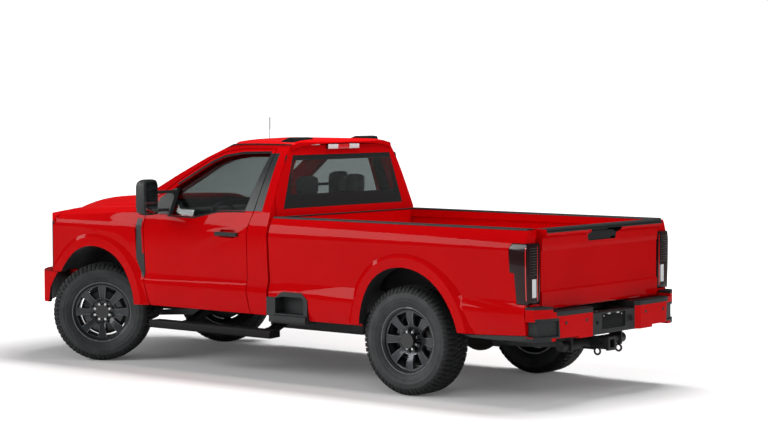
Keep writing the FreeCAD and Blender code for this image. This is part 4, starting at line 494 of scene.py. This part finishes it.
# sections are (across, radius) pairs in wheel space
tyre = {
    "section": [(0.107, 0.262), (0.112, 0.268), (0.1175, 0.275), (0.1205, 0.283), (0.1235, 0.286), (0.1255, 0.294),
                (0.1305, 0.306), (0.1335, 0.309), (0.1335, 0.313), (0.1350, 0.318), (0.1370, 0.336), (0.1380, 0.338),
                (0.1380, 0.344), (0.1372, 0.346), (0.1372, 0.360), (0.1360, 0.374), (0.1330, 0.388), (0.1280, 0.398),
                (0.1180, 0.410), (0.0900, 0.4185), (0.0, 0.4205)],
    "bead": [(-0.107, 0.262), (-0.100, 0.256), (0.100, 0.256), (0.107, 0.262)],
    "steps": 128, "treadFrom": 0.409,
}
tread = {
    "pitches": 32, "crown": (0.0045, 0.060, 0.050),
    "layers": [(0.414, 1.0), (0.4315 - 0.0015, 0.955), (0.4315, 0.90)],    # a block's radius and its share of size
    "lug": [(0.084, 0.4300), (0.108, 0.4285), (0.124, 0.4190), (0.1335, 0.4020), (0.1368, 0.3880), (0.1372, 0.3790)],
    "lugRoot": [(0.084, 0.4150), (0.106, 0.4130), (0.119, 0.4060), (0.127, 0.3950), (0.1320, 0.3850),
                (0.1335, 0.3770)],
    "lugWide": 0.385, "lugParts": (-0.235, 0.235), "lugFlat": 0.86, "lugEase": (0.0012, 0.0014),
    "skew": 0.030, "backSkew": 0.6,
    # shoulder rows of blocks: inner and outer edge, width and offset in pitches
    "rows": [(0.030, 0.052, 0.40, 0.25), (0.056, 0.080, 0.38, -0.18)],
    "midHalf": 0.025, "midSkew": 0.02, "midWide": (0.19, 0.26, 0.12),
}


def wheelPlace(values):    # wheel space, axle along +Y outwards, to the truck at rest
    hubX, hubY = values["hub"]
    pin = Matrix.Translation((*values["pin"], 0.0))
    steer = pin @ Matrix.Rotation(math.radians(values["turn"]), 4, "Z") @ pin.inverted()
    place = steer @ Matrix.Translation((hubX, hubY, hubHeight))
    return place @ (Matrix.Identity(4) if hubY > 0 else Matrix.Rotation(math.pi, 4, "Z"))


def spun(bm, section, steps, closed=False):    # a section turned round the axle
    verts = [bm.verts.new((radius, across, 0)) for across, radius in section]
    edges = [bm.edges.new(pair) for pair in zip(verts, verts[1:] + (verts[:1] if closed else []))]
    before = set(bm.faces)
    bmesh.ops.spin(bm, geom=verts + edges, cent=(0, 0, 0), axis=(0, 1, 0), angle=math.tau, steps=steps,
                   use_merge=True, use_normal_flip=False, use_duplicate=False)
    return [face for face in bm.faces if face not in before]


def annulus(bm, inner, outer, y, thick, steps=48):    # a flat ring across the axle
    made = spun(bm, [(y, inner), (y, outer), (y + thick, outer), (y + thick, inner)], steps, closed=True)
    bmesh.ops.recalc_face_normals(bm, faces=made)


def treadBlock(bm, angle, corners):    # corners: (turn in radians, across); walls lean in a little
    midTurn, midAcross = middleOf(corners)
    drop, flatHalf, curve = tread["crown"]
    rings = []
    for height, shrink in tread["layers"]:
        ring = []
        for turn, across in corners:
            t = angle + midTurn + (turn - midTurn) * shrink
            y = midAcross + (across - midAcross) * shrink
            crown = height - drop * max(0.0, (abs(y) - flatHalf) / curve) ** 2
            ring.append((crown * math.cos(t), y, crown * math.sin(t)))
        rings.append(ring)
    ringStack(bm, rings, index=1, closed=False)


def shoulderLug(bm, angle, wide, side):    # a lug that runs from the tread over the shoulder down the wall
    def line(t, points, ease=(0, 0)):
        return [bm.verts.new(((r - ease[1]) * math.cos(t), (a - ease[0]) * side, (r - ease[1]) * math.sin(t)))
                for a, r in points]

    half = wide / 2
    rows = [line(angle + half * part, tread["lug"], tread["lugEase"] if abs(part) == 1 else (0, 0))
            for part in (-1, -tread["lugFlat"], tread["lugFlat"], 1)]
    feet = [line(angle + half * part, tread["lugRoot"]) for part in (-1, 1)]
    lines = [feet[0], *rows, feet[1]]
    faces = [bm.faces.new((first[i], first[i + 1], second[i + 1], second[i]))
             for first, second in zip(lines, lines[1:]) for i in range(len(tread["lug"]) - 1)]
    faces += [bm.faces.new([row[end] for row in lines]) for end in (0, -1)]
    assign(faces, 1)


def buildTyre(name, values):
    bm = bmesh.new()
    half = [(-a, r) for a, r in tyre["section"]]
    spun(bm, tyre["section"] + half[::-1][1:], tyre["steps"])
    spun(bm, tyre["bead"], tyre["steps"])
    pitch = math.tau / tread["pitches"]
    midHalf, midSkew = tread["midHalf"], tread["midSkew"]
    wide, bulge, waist = (part * pitch for part in tread["midWide"])
    for step in range(tread["pitches"]):
        angle = step * pitch
        for side in (1, -1):
            shift = 0.0 if side > 0 else pitch / 2
            for part in tread["lugParts"]:
                shoulderLug(bm, angle + shift + part * pitch, pitch * tread["lugWide"], side)
            skew = tread["skew"] * side
            for inner, outer, share, offset in tread["rows"]:
                for part in (0.0, 0.5):
                    mid = shift + (part + offset) * pitch
                    low, high = mid - share * pitch / 2, mid + share * pitch / 2
                    middle = (inner + outer) / 2 * side
                    treadBlock(bm, angle, [(low - skew, inner * side), (high - skew, inner * side),
                                           (high + skew, middle), (high, outer * side), (low, outer * side),
                                           (low + skew * tread["backSkew"], middle)])
        for part in (0.0, 0.5):
            mid = part * pitch
            treadBlock(bm, angle, [(mid - wide - midSkew, -midHalf), (mid + wide - midSkew, -midHalf),
                                   (mid + bulge, 0.0), (mid + wide + midSkew, midHalf),
                                   (mid - wide + midSkew, midHalf), (mid - waist, 0.0)])
    bmesh.ops.recalc_face_normals(bm, faces=bm.faces)
    paintWhere(bm, 1, lambda p, n: p.xz.length > tyre["treadFrom"])
    bmesh.ops.transform(bm, matrix=wheelPlace(values), verts=bm.verts)
    piece = meshPiece(bm, "tyre" + name, ["tyreRubber", "treadRubber"], smooth=38)
    seat(piece, "tyre_" + name)


rim = {"edge": 0.0022, "cap": 0.083, "lip": (0.2585, 0.085), "disc": (0.19, 0.02)}


def buildRim(name, values):    # the CAD wheel with softened edges and its cap, lip and disc finished apart
    bm = weldedCopy("rim_" + name, rim["edge"], 30)
    back = wheelPlace(values).inverted()
    for face in bm.faces:
        spot = back @ face.calc_center_median()
        radius = math.hypot(spot.x, spot.z)
        if radius < rim["cap"]:
            face.material_index = 1
        elif radius > rim["lip"][0] and spot.y > rim["lip"][1]:
            face.material_index = 2
        elif radius < rim["disc"][0] and spot.y < rim["disc"][1]:
            face.material_index = 3
    piece = meshPiece(bm, "rim" + name, ["darkWheelEnamel", "glossBlackPlastic", "machinedWheelEdge",
                                         "turnedDiscIron"], smooth=28)
    seat(piece, "rim_" + name)


rimDetail = {
    "spokes": 8, "railRadius": 0.0026,
    # spoke edge: out from the axle, along it, and half the spoke's width there
    "rail": [(0.104, 0.0545, 0.0215), (0.135, 0.0665, 0.0225), (0.170, 0.0775, 0.0265), (0.205, 0.0812, 0.0320),
             (0.228, 0.0815, 0.0365)],
    "nutAt": (0.070, 0.0735, 0.0), "nut": (0.0115, 0.016), "nutTip": (0.008, 0.005), "nutStep": (0, 0.009, 0),
    "ring": (0.2585, 0.2625, 0.1105, 0.0012),
}


def buildRimDetail(name, values):    # raised spoke edges, nuts in a bright chrome finish as a painted glint on dark nuts, and the bright ring
    bm = bmesh.new()
    for spoke in range(rimDetail["spokes"]):
        turn = Matrix.Rotation(math.tau * spoke / rimDetail["spokes"], 4, "Y")
        for edge in (-1, 1):
            addTube(bm, [turn @ Vector((x, y, z * edge)) for x, y, z in rimDetail["rail"]],
                    rimDetail["railRadius"], sides=6)
        between = Matrix.Rotation(math.tau * (spoke + 0.5) / rimDetail["spokes"], 4, "Y")
        spot = between @ Vector(rimDetail["nutAt"])
        # the nuts take the bright chrome finish: a painted glint, as the nuts are dark
        addDrum(bm, spot, *rimDetail["nut"], "Y", index=1, sides=6)
        addDrum(bm, spot + Vector(rimDetail["nutStep"]), *rimDetail["nutTip"], "Y", index=1, sides=16)
    annulus(bm, *rimDetail["ring"], steps=96)
    bmesh.ops.transform(bm, matrix=wheelPlace(values), verts=bm.verts)
    seat(meshPiece(bm, "rimDetail" + name, ["machinedWheelEdge", "brightTrim"]), body=bodyOf["rim_" + name])


brake = {
    # inner and outer radius, place along the axle, thickness
    "shield": (0.078, 0.2065, -0.0175, 0.002), "shieldRim": (0.2045, 0.2065, -0.070, 0.052),
    "caliperTurns": (-0.34, -0.17, 0.0, 0.17, 0.34), "caliperAt": (-0.150, -0.030, 0.0),
    "caliper": (0.060, 0.020, 0.040), "caliperEdge": 0.006,
}


def buildBrake(name, values):    # dust shield and caliper behind the disc, which stay still while the wheel turns
    bm = bmesh.new()
    annulus(bm, *brake["shield"])
    annulus(bm, *brake["shieldRim"])
    for turn in brake["caliperTurns"]:
        spot = Matrix.Rotation(turn, 4, "Y") @ Vector(brake["caliperAt"])
        addBlock(bm, spot, brake["caliper"], brake["caliperEdge"], index=1)
    bmesh.ops.transform(bm, matrix=wheelPlace(values), verts=bm.verts)
    seat(meshPiece(bm, "brake" + name, ["waxedFrameSteel", "castIron"]), body=bodyOf[values["carrier"]])


for name, values in wheels.items():
    buildTyre(name, values)
    buildRim(name, values)
    buildRimDetail(name, values)
    buildBrake(name, values)
print("stage: wheels ready")

# Rear: tail lamps, brake lamp, bumper pads, blank plate recess, window surround

lampSide, lampRear, rearward = (0.955, 1.01), (-2.80, -2.78), (-1, 0, 0)
rearLamps = {
    "edge": 0.004, "face": -2.7925,
    "ribs": 11, "ribY": 0.925, "ribFrom": 1.010, "ribPitch": 0.020, "rib": (0.004, 0.100, 0.006), "ribEdge": 0.0012,
    "zones": [zone("y", rect(-2.79, -2.62, 1.000, 1.028), 0, lampSide),
              zone("y", rect(-2.780, -2.772, 0.815, 1.215), 1, lampSide),
              zone("x", rect(0.855, 0.868, 0.812, 1.222), 2, lampRear, rearward),
              zone("x", rect(0.868, 0.930, 0.835, 0.975), 3, lampRear, rearward),
              zone("x", rect(0.075, 0.205, 1.890, 1.940), 3, (-0.20, -0.12), rearward)],
    # upright borders: across and size
    "borders": [(0.8430, (0.005, 0.006, 0.420)), (0.8735, (0.005, 0.005, 0.420))],
    "borderZ": 1.015, "borderEdge": 0.0015,
}


def buildRearLamps():
    bm = weldedCopy("tail_lamps", rearLamps["edge"])
    paintWhere(bm, 4, lambda p, n: p.x > -2.70 and abs(p.y) < 0.84)
    paintWhere(bm, 1, lambda p, n: abs(p.y) < 0.075)
    for area in rearLamps["zones"]:
        for side in (1, -1):
            paintZone(bm, area, side)
    for side in (1, -1):
        for rib in range(rearLamps["ribs"]):
            z = rearLamps["ribFrom"] + rib * rearLamps["ribPitch"]
            addBlock(bm, (rearLamps["face"], side * rearLamps["ribY"], z), rearLamps["rib"], rearLamps["ribEdge"], 4)
        for y, size in rearLamps["borders"]:
            addBlock(bm, (rearLamps["face"], side * y, rearLamps["borderZ"]), size, rearLamps["borderEdge"], 4)
    seat(meshPiece(bm, "tailLamps", ["smokedRedLens", "redLens", "redLens", "clearLens", "glossBlackPlastic"]),
         "tail_lamps")


bumperDetail = {
    "rib": 0.004, "ribEdge": 0.001,
    # ribbed pads: count, first rib, step forward to back, length across, change in length a rib
    "sidePad": (9, (-2.862, 0.560, 0.7295), 0.008, 0.440, 0.0),
    "cornerPad": (7, (-2.815, 0.905, 0.7715), 0.010, 0.085, 0.006),
    "middlePad": (8, (-2.845, 0.0, 0.6775), 0.008, 0.540, 0.0),
    # sensors and plate screws on both sides, then the connector socket and its plug
    "pairedDrums": [((-2.9405, 0.420, 0.640), 0.014, 0.006, "X"), ((-2.935, 0.690, 0.640), 0.014, 0.006, "X"),
                    ((-2.903, 0.125, 0.645), 0.006, 0.004, "X", 2, 12)],
    "drums": [((-2.923, -0.232, 0.598), 0.021, 0.010, "X", 1, 24), ((-2.915, 0.232, 0.600), 0.014, 0.008, "X", 1)],
    # blank plate, its two lamps, the socket's pad
    "blocks": [((-2.900, 0, 0.605), (0.004, 0.305, 0.100), 0.0015, 1),
               ((-2.906, 0.0625, 0.660), (0.016, 0.030, 0.010), 0.003, 3),
               ((-2.906, -0.0625, 0.660), (0.016, 0.030, 0.010), 0.003, 3),
               ((-2.915, -0.232, 0.600), (0.012, 0.070, 0.058), 0.004)],
}


def addRibs(bm, side, pad):
    count, (x, y, z), step, wide, change = bumperDetail[pad]
    rib = bumperDetail["rib"]
    for i in range(count):
        addBlock(bm, (x - step * i, side * y, z), (rib, wide - change * i, rib), bumperDetail["ribEdge"])


def buildBumperDetail():    # ribbed step pads, blank plate, connector socket, sensors
    bm = bmesh.new()
    for side in (1, -1):
        addRibs(bm, side, "sidePad")
        addRibs(bm, side, "cornerPad")
        for (x, y, z), *shape in bumperDetail["pairedDrums"]:
            addDrum(bm, (x, side * y, z), *shape)
    addRibs(bm, 1, "middlePad")
    for drum in bumperDetail["drums"]:
        addDrum(bm, *drum)
    for block in bumperDetail["blocks"]:
        addBlock(bm, *block)
    seat(meshPiece(bm, "bumperDetail", ["blackGrainedPlastic", "blackSealRubber", "brightTrim", "clearLens"]))


surround = {
    "lean": 40 / 620, "wallX": -0.179, "wallZ": 1.340, "taper": 0.08, "count": 32,
    # half width, low and high edge, corner radius, how far it stands off the wall
    "rings": [(0.795, 1.4065, 1.852, 0.020, 0.0016), (0.715, 1.512, 1.816, 0.050, 0.0010),
              (0.702, 1.522, 1.806, 0.046, 0.0022)],
}


def buildWindowSurround():    # the rubber frame bonded to the cab's back, with a lighter line at its inner edge
    bm = bmesh.new()
    lean, count = surround["lean"], surround["count"]
    rings = []
    for half, low, high, corner, off in surround["rings"]:
        ring = []
        for y, up in roundedLoop(half, (high - low) / 2, corner, count):
            z = (low + high) / 2 + up
            x = surround["wallX"] + lean * (z - surround["wallZ"]) + off
            ring.append(bm.verts.new((x, y * (1 - surround["taper"] * (z - low) / (high - low)), z)))
        rings.append(ring)
    for index, (first, second) in enumerate(zip(rings, rings[1:])):
        for i in range(count):
            face = bm.faces.new((first[i], second[i], second[(i + 1) % count], first[(i + 1) % count]))
            face.material_index = index
    seat(meshPiece(bm, "rearWindowSurround", ["blackGlassFrit", "blackGrainedPlastic"], smooth=40))


buildRearLamps()
buildBumperDetail()
buildWindowSurround()
print("stage: rear ready")

# Sides: mirrors, fuel door line, drip strips, arch walls

mirrors = {
    "halfWide": 0.08, "halfTall": 0.15,
    # outlines of (across, up) corners
    "outline": [(1.168, 1.352), (1.185, 1.341), (1.300, 1.338), (1.325, 1.350), (1.334, 1.385), (1.334, 1.590),
                (1.322, 1.625), (1.292, 1.640), (1.215, 1.640), (1.182, 1.628), (1.168, 1.592)],
    "glasses": [[(1.183, 1.452), (1.319, 1.452), (1.319, 1.590), (1.309, 1.614), (1.288, 1.624), (1.218, 1.624),
                 (1.193, 1.612), (1.183, 1.588)],
                [(1.183, 1.372), (1.193, 1.357), (1.300, 1.354), (1.319, 1.366), (1.319, 1.434), (1.183, 1.434)]],
    # shells from back to front: place along X, how far the outline is drawn in
    "shell": [(0.908, 0.006), (0.912, 0.001), (0.920, 0.0), (0.963, -0.0005), (0.988, 0.004), (1.018, 0.014),
              (1.036, 0.028), (1.044, 0.042)],
    "glassFrame": [(0.910, -0.003), (0.904, -0.002), (0.904, 0.001)], "glass": [(0.905, 0.0012), (0.9028, 0.0022)],
    "turnLamp": ((0.907, 1.252, 1.443), (0.010, 0.150, 0.008), 0.002),
    "arms": [((1.0025, 1.075, z), (0.036, 0.190, 0.026), 0.008) for z in (1.370, 1.524)], "padTo": 1.03,
}


def shrunkRing(outline, x, amount):
    midY, midZ = middleOf(outline)
    wide, tall = 1 - amount / mirrors["halfWide"], 1 - amount / mirrors["halfTall"]
    return [(x, midY + (y - midY) * wide, midZ + (z - midZ) * tall) for y, z in outline]


def buildMirror(tag):
    bm = bmesh.new()
    ringStack(bm, [shrunkRing(mirrors["outline"], *ring) for ring in mirrors["shell"]])
    for outline in mirrors["glasses"]:
        ringStack(bm, [shrunkRing(outline, *ring) for ring in mirrors["glassFrame"]])
        ringStack(bm, [shrunkRing(outline, *ring) for ring in mirrors["glass"]], index=1)
    addBlock(bm, *mirrors["turnLamp"], index=2)
    for arm in mirrors["arms"]:
        addBlock(bm, *arm)
    bmesh.ops.recalc_face_normals(bm, faces=bm.faces)
    pad = weldedCopy("door_mirror_left")    # the CAD form's foot on the door is kept
    bmesh.ops.delete(pad, geom=[f for f in pad.faces if f.calc_center_median().y > mirrors["padTo"]],
                     context="FACES")
    spare = bpy.data.meshes.new("mirrorPadSpare")
    pad.to_mesh(spare)
    pad.free()
    bm.from_mesh(spare)
    bpy.data.meshes.remove(spare)
    if tag == "right":
        mirror(bm)
    piece = meshPiece(bm, "mirror_" + tag, ["blackGrainedPlastic", "mirrorGlass", "brightTrim"], smooth=35)
    seat(piece, "door_mirror_" + tag)


dripStrip = {
    "radius": 0.006,
    "route": [(1.400, 0.762, 1.414), (1.275, 0.742, 1.516), (1.021, 0.715, 1.668), (0.743, 0.684, 1.829),
              (0.500, 0.664, 1.931), (0.300, 0.656, 1.937), (0.0, 0.652, 1.938), (-0.140, 0.650, 1.936)],
}


def buildDripStrips():    # the rubber moulding from the windscreen pillar along the roof's side
    bm = bmesh.new()
    addTube(bm, dripStrip["route"], dripStrip["radius"])
    mirror(bm, twin=True)
    seat(meshPiece(bm, "dripStrips", ["blackSealRubber"]))


fuelDoor = {
    "middle": (-0.4525, 0.959), "halfWide": 0.128, "halfTall": 0.100, "corner": 0.030, "line": 0.0022, "count": 24,
    # the pressed side below and above it: (height, half width)
    "wall": ((0.818, 0.975), (1.185, 1.000)), "off": 0.0004,
}


def buildFuelDoor():    # shut line of the filler flap, left side only
    bm = bmesh.new()
    midX, midZ = fuelDoor["middle"]
    (z0, y0), (z1, y1) = fuelDoor["wall"]
    loop = roundedLoop(fuelDoor["halfWide"], fuelDoor["halfTall"], fuelDoor["corner"], fuelDoor["count"])
    route = [(midX + x, y0 + (y1 - y0) * (midZ + z - z0) / (z1 - z0) + fuelDoor["off"], midZ + z) for x, z in loop]
    addTube(bm, route + route[:2], fuelDoor["line"], sides=6)
    seat(meshPiece(bm, "fuelDoorLine", ["blackSealRubber"]))


splash = {"radius": 0.604, "sill": 0.345, "wallY": 0.4445, "thick": 0.0015, "steps": 24,
          "screenFrit": ((1.362, 0, 1.386), (0.010, 1.32, 0.052), 0.002)}


def buildSplashWalls():    # black sheet inboard of the front wheels above the rails, and the windscreen's lower frit
    bm = bmesh.new()
    start = math.asin(splash["sill"] / splash["radius"])
    verts = []
    for step in range(splash["steps"] + 1):
        angle = start + (math.pi - 2 * start) * step / splash["steps"]
        verts.append(bm.verts.new((archX["front"] + splash["radius"] * math.cos(angle), splash["wallY"],
                                   archZ + splash["radius"] * math.sin(angle))))
    sheet = bmesh.ops.extrude_face_region(bm, geom=[bm.faces.new(verts)])["geom"]
    bmesh.ops.translate(bm, vec=(0, -splash["thick"], 0), verts=only(bmesh.types.BMVert, sheet))
    bmesh.ops.recalc_face_normals(bm, faces=bm.faces)
    mirror(bm, twin=True)
    addBlock(bm, *splash["screenFrit"])
    seat(meshPiece(bm, "splashWalls", ["blackGrainedPlastic"]))


for tag in ("left", "right"):
    buildMirror(tag)
buildSplashWalls()
buildDripStrips()
buildFuelDoor()
print("stage: sides ready")

# Cab: crowned seats with sewn channels and vinyl bolsters, headrests on posts, interior mirror

# each left pad has a twin on the right; "flat" is the axis of the broad face
seats = {
    "cushionLeft": {"middle": (0.452, 0.310, 0.914), "size": (0.530, 0.490, 0.160), "lean": -0.06, "crown": 0.016,
                    "flat": 2, "of": "seat_cushions"},
    "cushionMiddle": {"middle": (0.440, 0.0, 0.908), "size": (0.500, 0.096, 0.150), "lean": -0.06, "crown": 0.010,
                      "flat": 2, "of": "seat_cushions"},
    "backLeft": {"middle": (0.066, 0.310, 1.175), "size": (0.104, 0.488, 0.560), "lean": -0.21, "crown": 0.014,
                 "flat": 0, "of": "seat_backs"},
    "backMiddle": {"middle": (0.074, 0.0, 1.130), "size": (0.100, 0.096, 0.450), "lean": -0.21, "crown": 0.010,
                   "flat": 0, "of": "seat_backs"},
    "restLeft": {"middle": (-0.017, 0.310, 1.5825), "size": (0.090, 0.250, 0.165), "lean": 0.0, "crown": 0.016,
                 "flat": 0, "of": "seat_backs"},
}
# the sewn channels and the bolsters outside them: "seam" is a share of the half width
sewing = {"cuts": 17, "seam": 0.66, "depth": 0.007, "width": 0.05, "rise": 0.008, "riseOver": 0.2, "corner": 0.05}


def buildPad(name, values):    # a padded block crowned on every face, its edges drawn in and two channels sewn in
    bm = bmesh.new()
    made = bmesh.ops.create_cube(bm, size=2)["verts"]
    edges = list({edge for vert in made for edge in vert.link_edges})
    bmesh.ops.subdivide_edges(bm, edges=edges, cuts=sewing["cuts"], use_grid_fill=True)
    size, crown, flat = values["size"], values["crown"], values["flat"]
    sewn = size[1] > 0.2 and not name.startswith("rest")
    seam, width = sewing["seam"], sewing["width"]
    if sewn:
        paintWhere(bm, 1, lambda p, n: abs(p.y) > seam)
    for vert in bm.verts:
        unit = vert.co.copy()
        ease = [1 - abs(p) ** 4 for p in unit]
        spot = []
        for axis in range(3):
            others = ease[axis - 1] * ease[axis - 2]
            drawn = (1 - sewing["corner"] * (1 - others)) * (size[axis] / 2 - crown)
            spot.append(unit[axis] * (drawn + crown * others))
        if sewn and abs(unit[flat]) > 0.99:
            across = abs(unit.y)
            channel = math.exp(-((across - seam) / width) ** 2) + 0.5 * math.exp(-(across / width) ** 2)
            bolster = max(0.0, min(1.0, (across - seam) / sewing["riseOver"])) * ease[1]
            spot[flat] += (sewing["rise"] * bolster - sewing["depth"] * channel) * (1 if unit[flat] > 0 else -1)
        vert.co = spot
    bmesh.ops.recalc_face_normals(bm, faces=bm.faces)
    place = Matrix.Translation(values["middle"]) @ Matrix.Rotation(values["lean"], 4, "Y")
    bmesh.ops.transform(bm, matrix=place, verts=bm.verts)
    piece = meshPiece(bm, name, ["seatCloth", "seatVinyl"], smooth=60)
    smoother = piece.modifiers.new("soften", "SUBSURF")
    smoother.levels = smoother.render_levels = 1
    seat(piece, values["of"])


cabDetail = {
    "post": [(-0.004, 0, 1.410), (-0.018, 0, 1.530)], "postRadius": 0.006, "postsAt": (-0.370, -0.250, 0.250, 0.370),
    "mirror": ((0.470, 0.0, 1.815), (0.016, 0.235, 0.068), 0.012),
    "mirrorGlass": ((0.4612, 0.0, 1.815), (0.003, 0.215, 0.052), 0.001),
    "mirrorArm": [(0.478, 0.0, 1.820), (0.515, 0.0, 1.862), (0.532, 0.0, 1.886)], "armRadius": 0.009,
}


def buildCabDetail():
    bm = bmesh.new()
    for across in cabDetail["postsAt"]:
        addTube(bm, [(x, across, z) for x, y, z in cabDetail["post"]], cabDetail["postRadius"], sides=10)
    addBlock(bm, *cabDetail["mirror"], index=1)
    addBlock(bm, *cabDetail["mirrorGlass"], index=2)
    addTube(bm, cabDetail["mirrorArm"], cabDetail["armRadius"], sides=10, index=1)
    seat(meshPiece(bm, "cabDetail", ["brightTrim", "blackGrainedPlastic", "mirrorGlass"]))


for name, values in seats.items():
    buildPad(name, values)
    if name.endswith("Left"):
        x, y, z = values["middle"]
        buildPad(name.replace("Left", "Right"), {**values, "middle": (x, -y, z)})
buildCabDetail()
print("stage: cab ready")

# Front: lamp units with bezels, bowls and amber markers, grille mesh

headlamp = {"edge": 0.004, "toward": (0.6, 0.4, 0),
            "zones": [(rect(0.600, 0.960, 1.150, 1.200), 1), (rect(0.600, 0.960, 0.800, 0.850), 1),
                      (rect(0.600, 0.960, 0.985, 1.005), 1), (rect(0.885, 0.960, 0.850, 0.985), 2)]}


def buildHeadlamps():
    bm = weldedCopy("headlamps", headlamp["edge"])
    paintWhere(bm, 1, lambda p, n: n.x < 0.2 or abs(n.z) > 0.7)
    for outline, index in headlamp["zones"]:
        for side in (1, -1):
            paintZone(bm, zone("x", outline, index, toward=headlamp["toward"]), side)
    seat(meshPiece(bm, "headlampUnits", ["lampReflector", "glossBlackPlastic", "amberLens"]), "headlamps")


frontDetail = {
    "bowlAt": (2.700, 0.700), "bowlHeights": (0.918, 1.075), "bowlTurn": 35, "bowlOut": 0.012,
    "bowl": (0.050, 0.040, 0.012),    # back and front radius, depth
    "bars": 7, "barsFrom": 0.885, "barPitch": 0.042, "barX": 2.760, "bar": (0.006, 0.980, 0.008), "barEdge": 0.002,
    "plate": ((2.906, 0, 0.705), (0.010, 0.300, 0.080), 0.003),
}


def buildFrontDetail():
    bm = bmesh.new()
    x, y = frontDetail["bowlAt"]
    for side in (1, -1):
        for z in frontDetail["bowlHeights"]:
            turn = Matrix.Rotation(math.radians(frontDetail["bowlTurn"]) * side, 4, "Z")
            place = (Matrix.Translation((x, side * y, z)) @ turn
                     @ Matrix.Translation((frontDetail["bowlOut"], 0, 0)) @ Matrix.Rotation(math.pi / 2, 4, "Y"))
            addCone(bm, place, *frontDetail["bowl"], index=1)
    for row in range(frontDetail["bars"]):
        z = frontDetail["barsFrom"] + row * frontDetail["barPitch"]
        addBlock(bm, (frontDetail["barX"], 0, z), frontDetail["bar"], frontDetail["barEdge"])
    addBlock(bm, *frontDetail["plate"])
    seat(meshPiece(bm, "frontDetail", ["blackGrainedPlastic", "clearLens"]))


buildHeadlamps()
buildFrontDetail()
print("stage: front ready")

# Studio: pale floor, soft light, camera at the photograph's place

studio = {
    "eye": (-11.977, 14.003, 2.370), "yaw": -50.923, "pitch": -3.204, "lens": 100.2, "sensor": 36, "sight": 500,
    "floor": "#E4E4E4", "floorHalf": 90, "floorSockets": {"Roughness": 0.9, "Specular IOR Level": 0.1},
    # the floor's glow to the camera: near and far strength, and the radii between which it rises
    "glow": {"From Min": 3.2, "From Max": 7.5, "To Min": 0.06, "To Max": 1.2}, "worldStrength": 0.16,
    # name, place, size, watts, target
    "lamps": [("topSoftbox", (-0.5, -2.6, 9.5), (8, 2.5), 1050, (-0.5, 0.3, 0.0)),
              ("sideSoftbox", (7.0, 14.0, 7.5), (14, 5), 1500, (0, 1, 1.0)),
              ("fillSoftbox", (-9.0, 10.0, 7.0), (6, 3), 360, (-1, 0.5, 0.8)),
              ("bedSoftbox", (-1.5, 0.95, 4.6), (2.2, 0.6), 50, (-1.5, -0.8, 1.0)),
              ("rearSoftbox", (-14.0, -2.0, 4.5), (5, 4), 420, (-2, 0, 0.8)),
              ("sideCard", (12.5, 12.5, 8.0), (26, 5.5), 3000, (0, 1, 1.0))],
}


def addItem(name, data):
    item = bpy.data.objects.new(name, data)
    bpy.context.scene.collection.objects.link(item)
    return item


def aim(item, target):
    item.rotation_euler = (Vector(target) - item.location).to_track_quat("-Z", "Y").to_euler()


def seenDirect(tree):    # 1 for rays from the camera or through glass
    ray = addNode(tree, "ShaderNodeLightPath").outputs
    return addNode(tree, "ShaderNodeMath", {"operation": "ADD", "use_clamp": True},
                   {0: ray["Is Camera Ray"], 1: ray["Is Transmission Ray"]}).outputs[0]


def buildCamera():
    camera = addItem("camera", bpy.data.cameras.new("camera"))
    camera.location = studio["eye"]
    yaw, pitch = math.radians(studio["yaw"]), math.radians(studio["pitch"])
    ahead = Vector((math.cos(yaw) * math.cos(pitch), math.sin(yaw) * math.cos(pitch), math.sin(pitch)))
    aim(camera, camera.location + ahead)
    camera.data.lens = studio["lens"]
    camera.data.sensor_width = studio["sensor"]
    camera.data.clip_end = studio["sight"]
    camera.data.dof.use_dof = False
    bpy.context.scene.camera = camera


def buildLamps():
    for name, place, size, power, target in studio["lamps"]:
        lamp = addItem(name, bpy.data.lights.new(name, "AREA"))
        lamp.location = place
        lamp.data.shape = "RECTANGLE"
        lamp.data.size, lamp.data.size_y = size
        lamp.data.energy = power
        aim(lamp, target)
        if name.endswith("Card"):    # seen only in reflections, as a photographer's white card is
            lamp.visible_diffuse = False
        else:
            lamp.visible_glossy = False


def buildFloor():
    bm = bmesh.new()
    bmesh.ops.create_grid(bm, x_segments=1, y_segments=1, size=studio["floorHalf"])
    data = bpy.data.meshes.new("floor")
    bm.to_mesh(data)
    bm.free()
    floor = addItem("floor", data)
    paint = bpy.data.materials.new("paleStudioFloor")
    paint.use_nodes = True
    tree = paint.node_tree
    shader = tree.nodes["Principled BSDF"]
    shader.inputs["Base Color"].default_value = linear(studio["floor"])
    for socket, value in studio["floorSockets"].items():
        shader.inputs[socket].default_value = value
    spot = addNode(tree, "ShaderNodeTexCoord").outputs["Object"]
    away = addNode(tree, "ShaderNodeVectorMath", {"operation": "LENGTH"}, {0: spot})
    rise = addNode(tree, "ShaderNodeMapRange", studio["glow"], {"Value": away.outputs["Value"]})
    glow = addNode(tree, "ShaderNodeMath", {"operation": "MULTIPLY"}, {0: seenDirect(tree), 1: rise.outputs[0]})
    shader.inputs["Emission Color"].default_value = (1, 1, 1, 1)
    tree.links.new(glow.outputs[0], shader.inputs["Emission Strength"])
    data.materials.append(paint)


def buildWorld():    # pure white behind the truck, and a weak light from all round
    world = bpy.data.worlds.new("studio")
    bpy.context.scene.world = world
    world.use_nodes = True
    tree = world.node_tree
    back = tree.nodes["Background"]
    back.inputs["Color"].default_value = (1, 1, 1, 1)
    level = addNode(tree, "ShaderNodeMapRange", {"To Min": studio["worldStrength"], "To Max": 1.0},
                    {"Value": seenDirect(tree)})
    tree.links.new(level.outputs[0], back.inputs["Strength"])


buildCamera()
buildLamps()
buildFloor()
buildWorld()
bpy.context.scene.view_settings.view_transform = "Standard"
print("stage: studio ready")
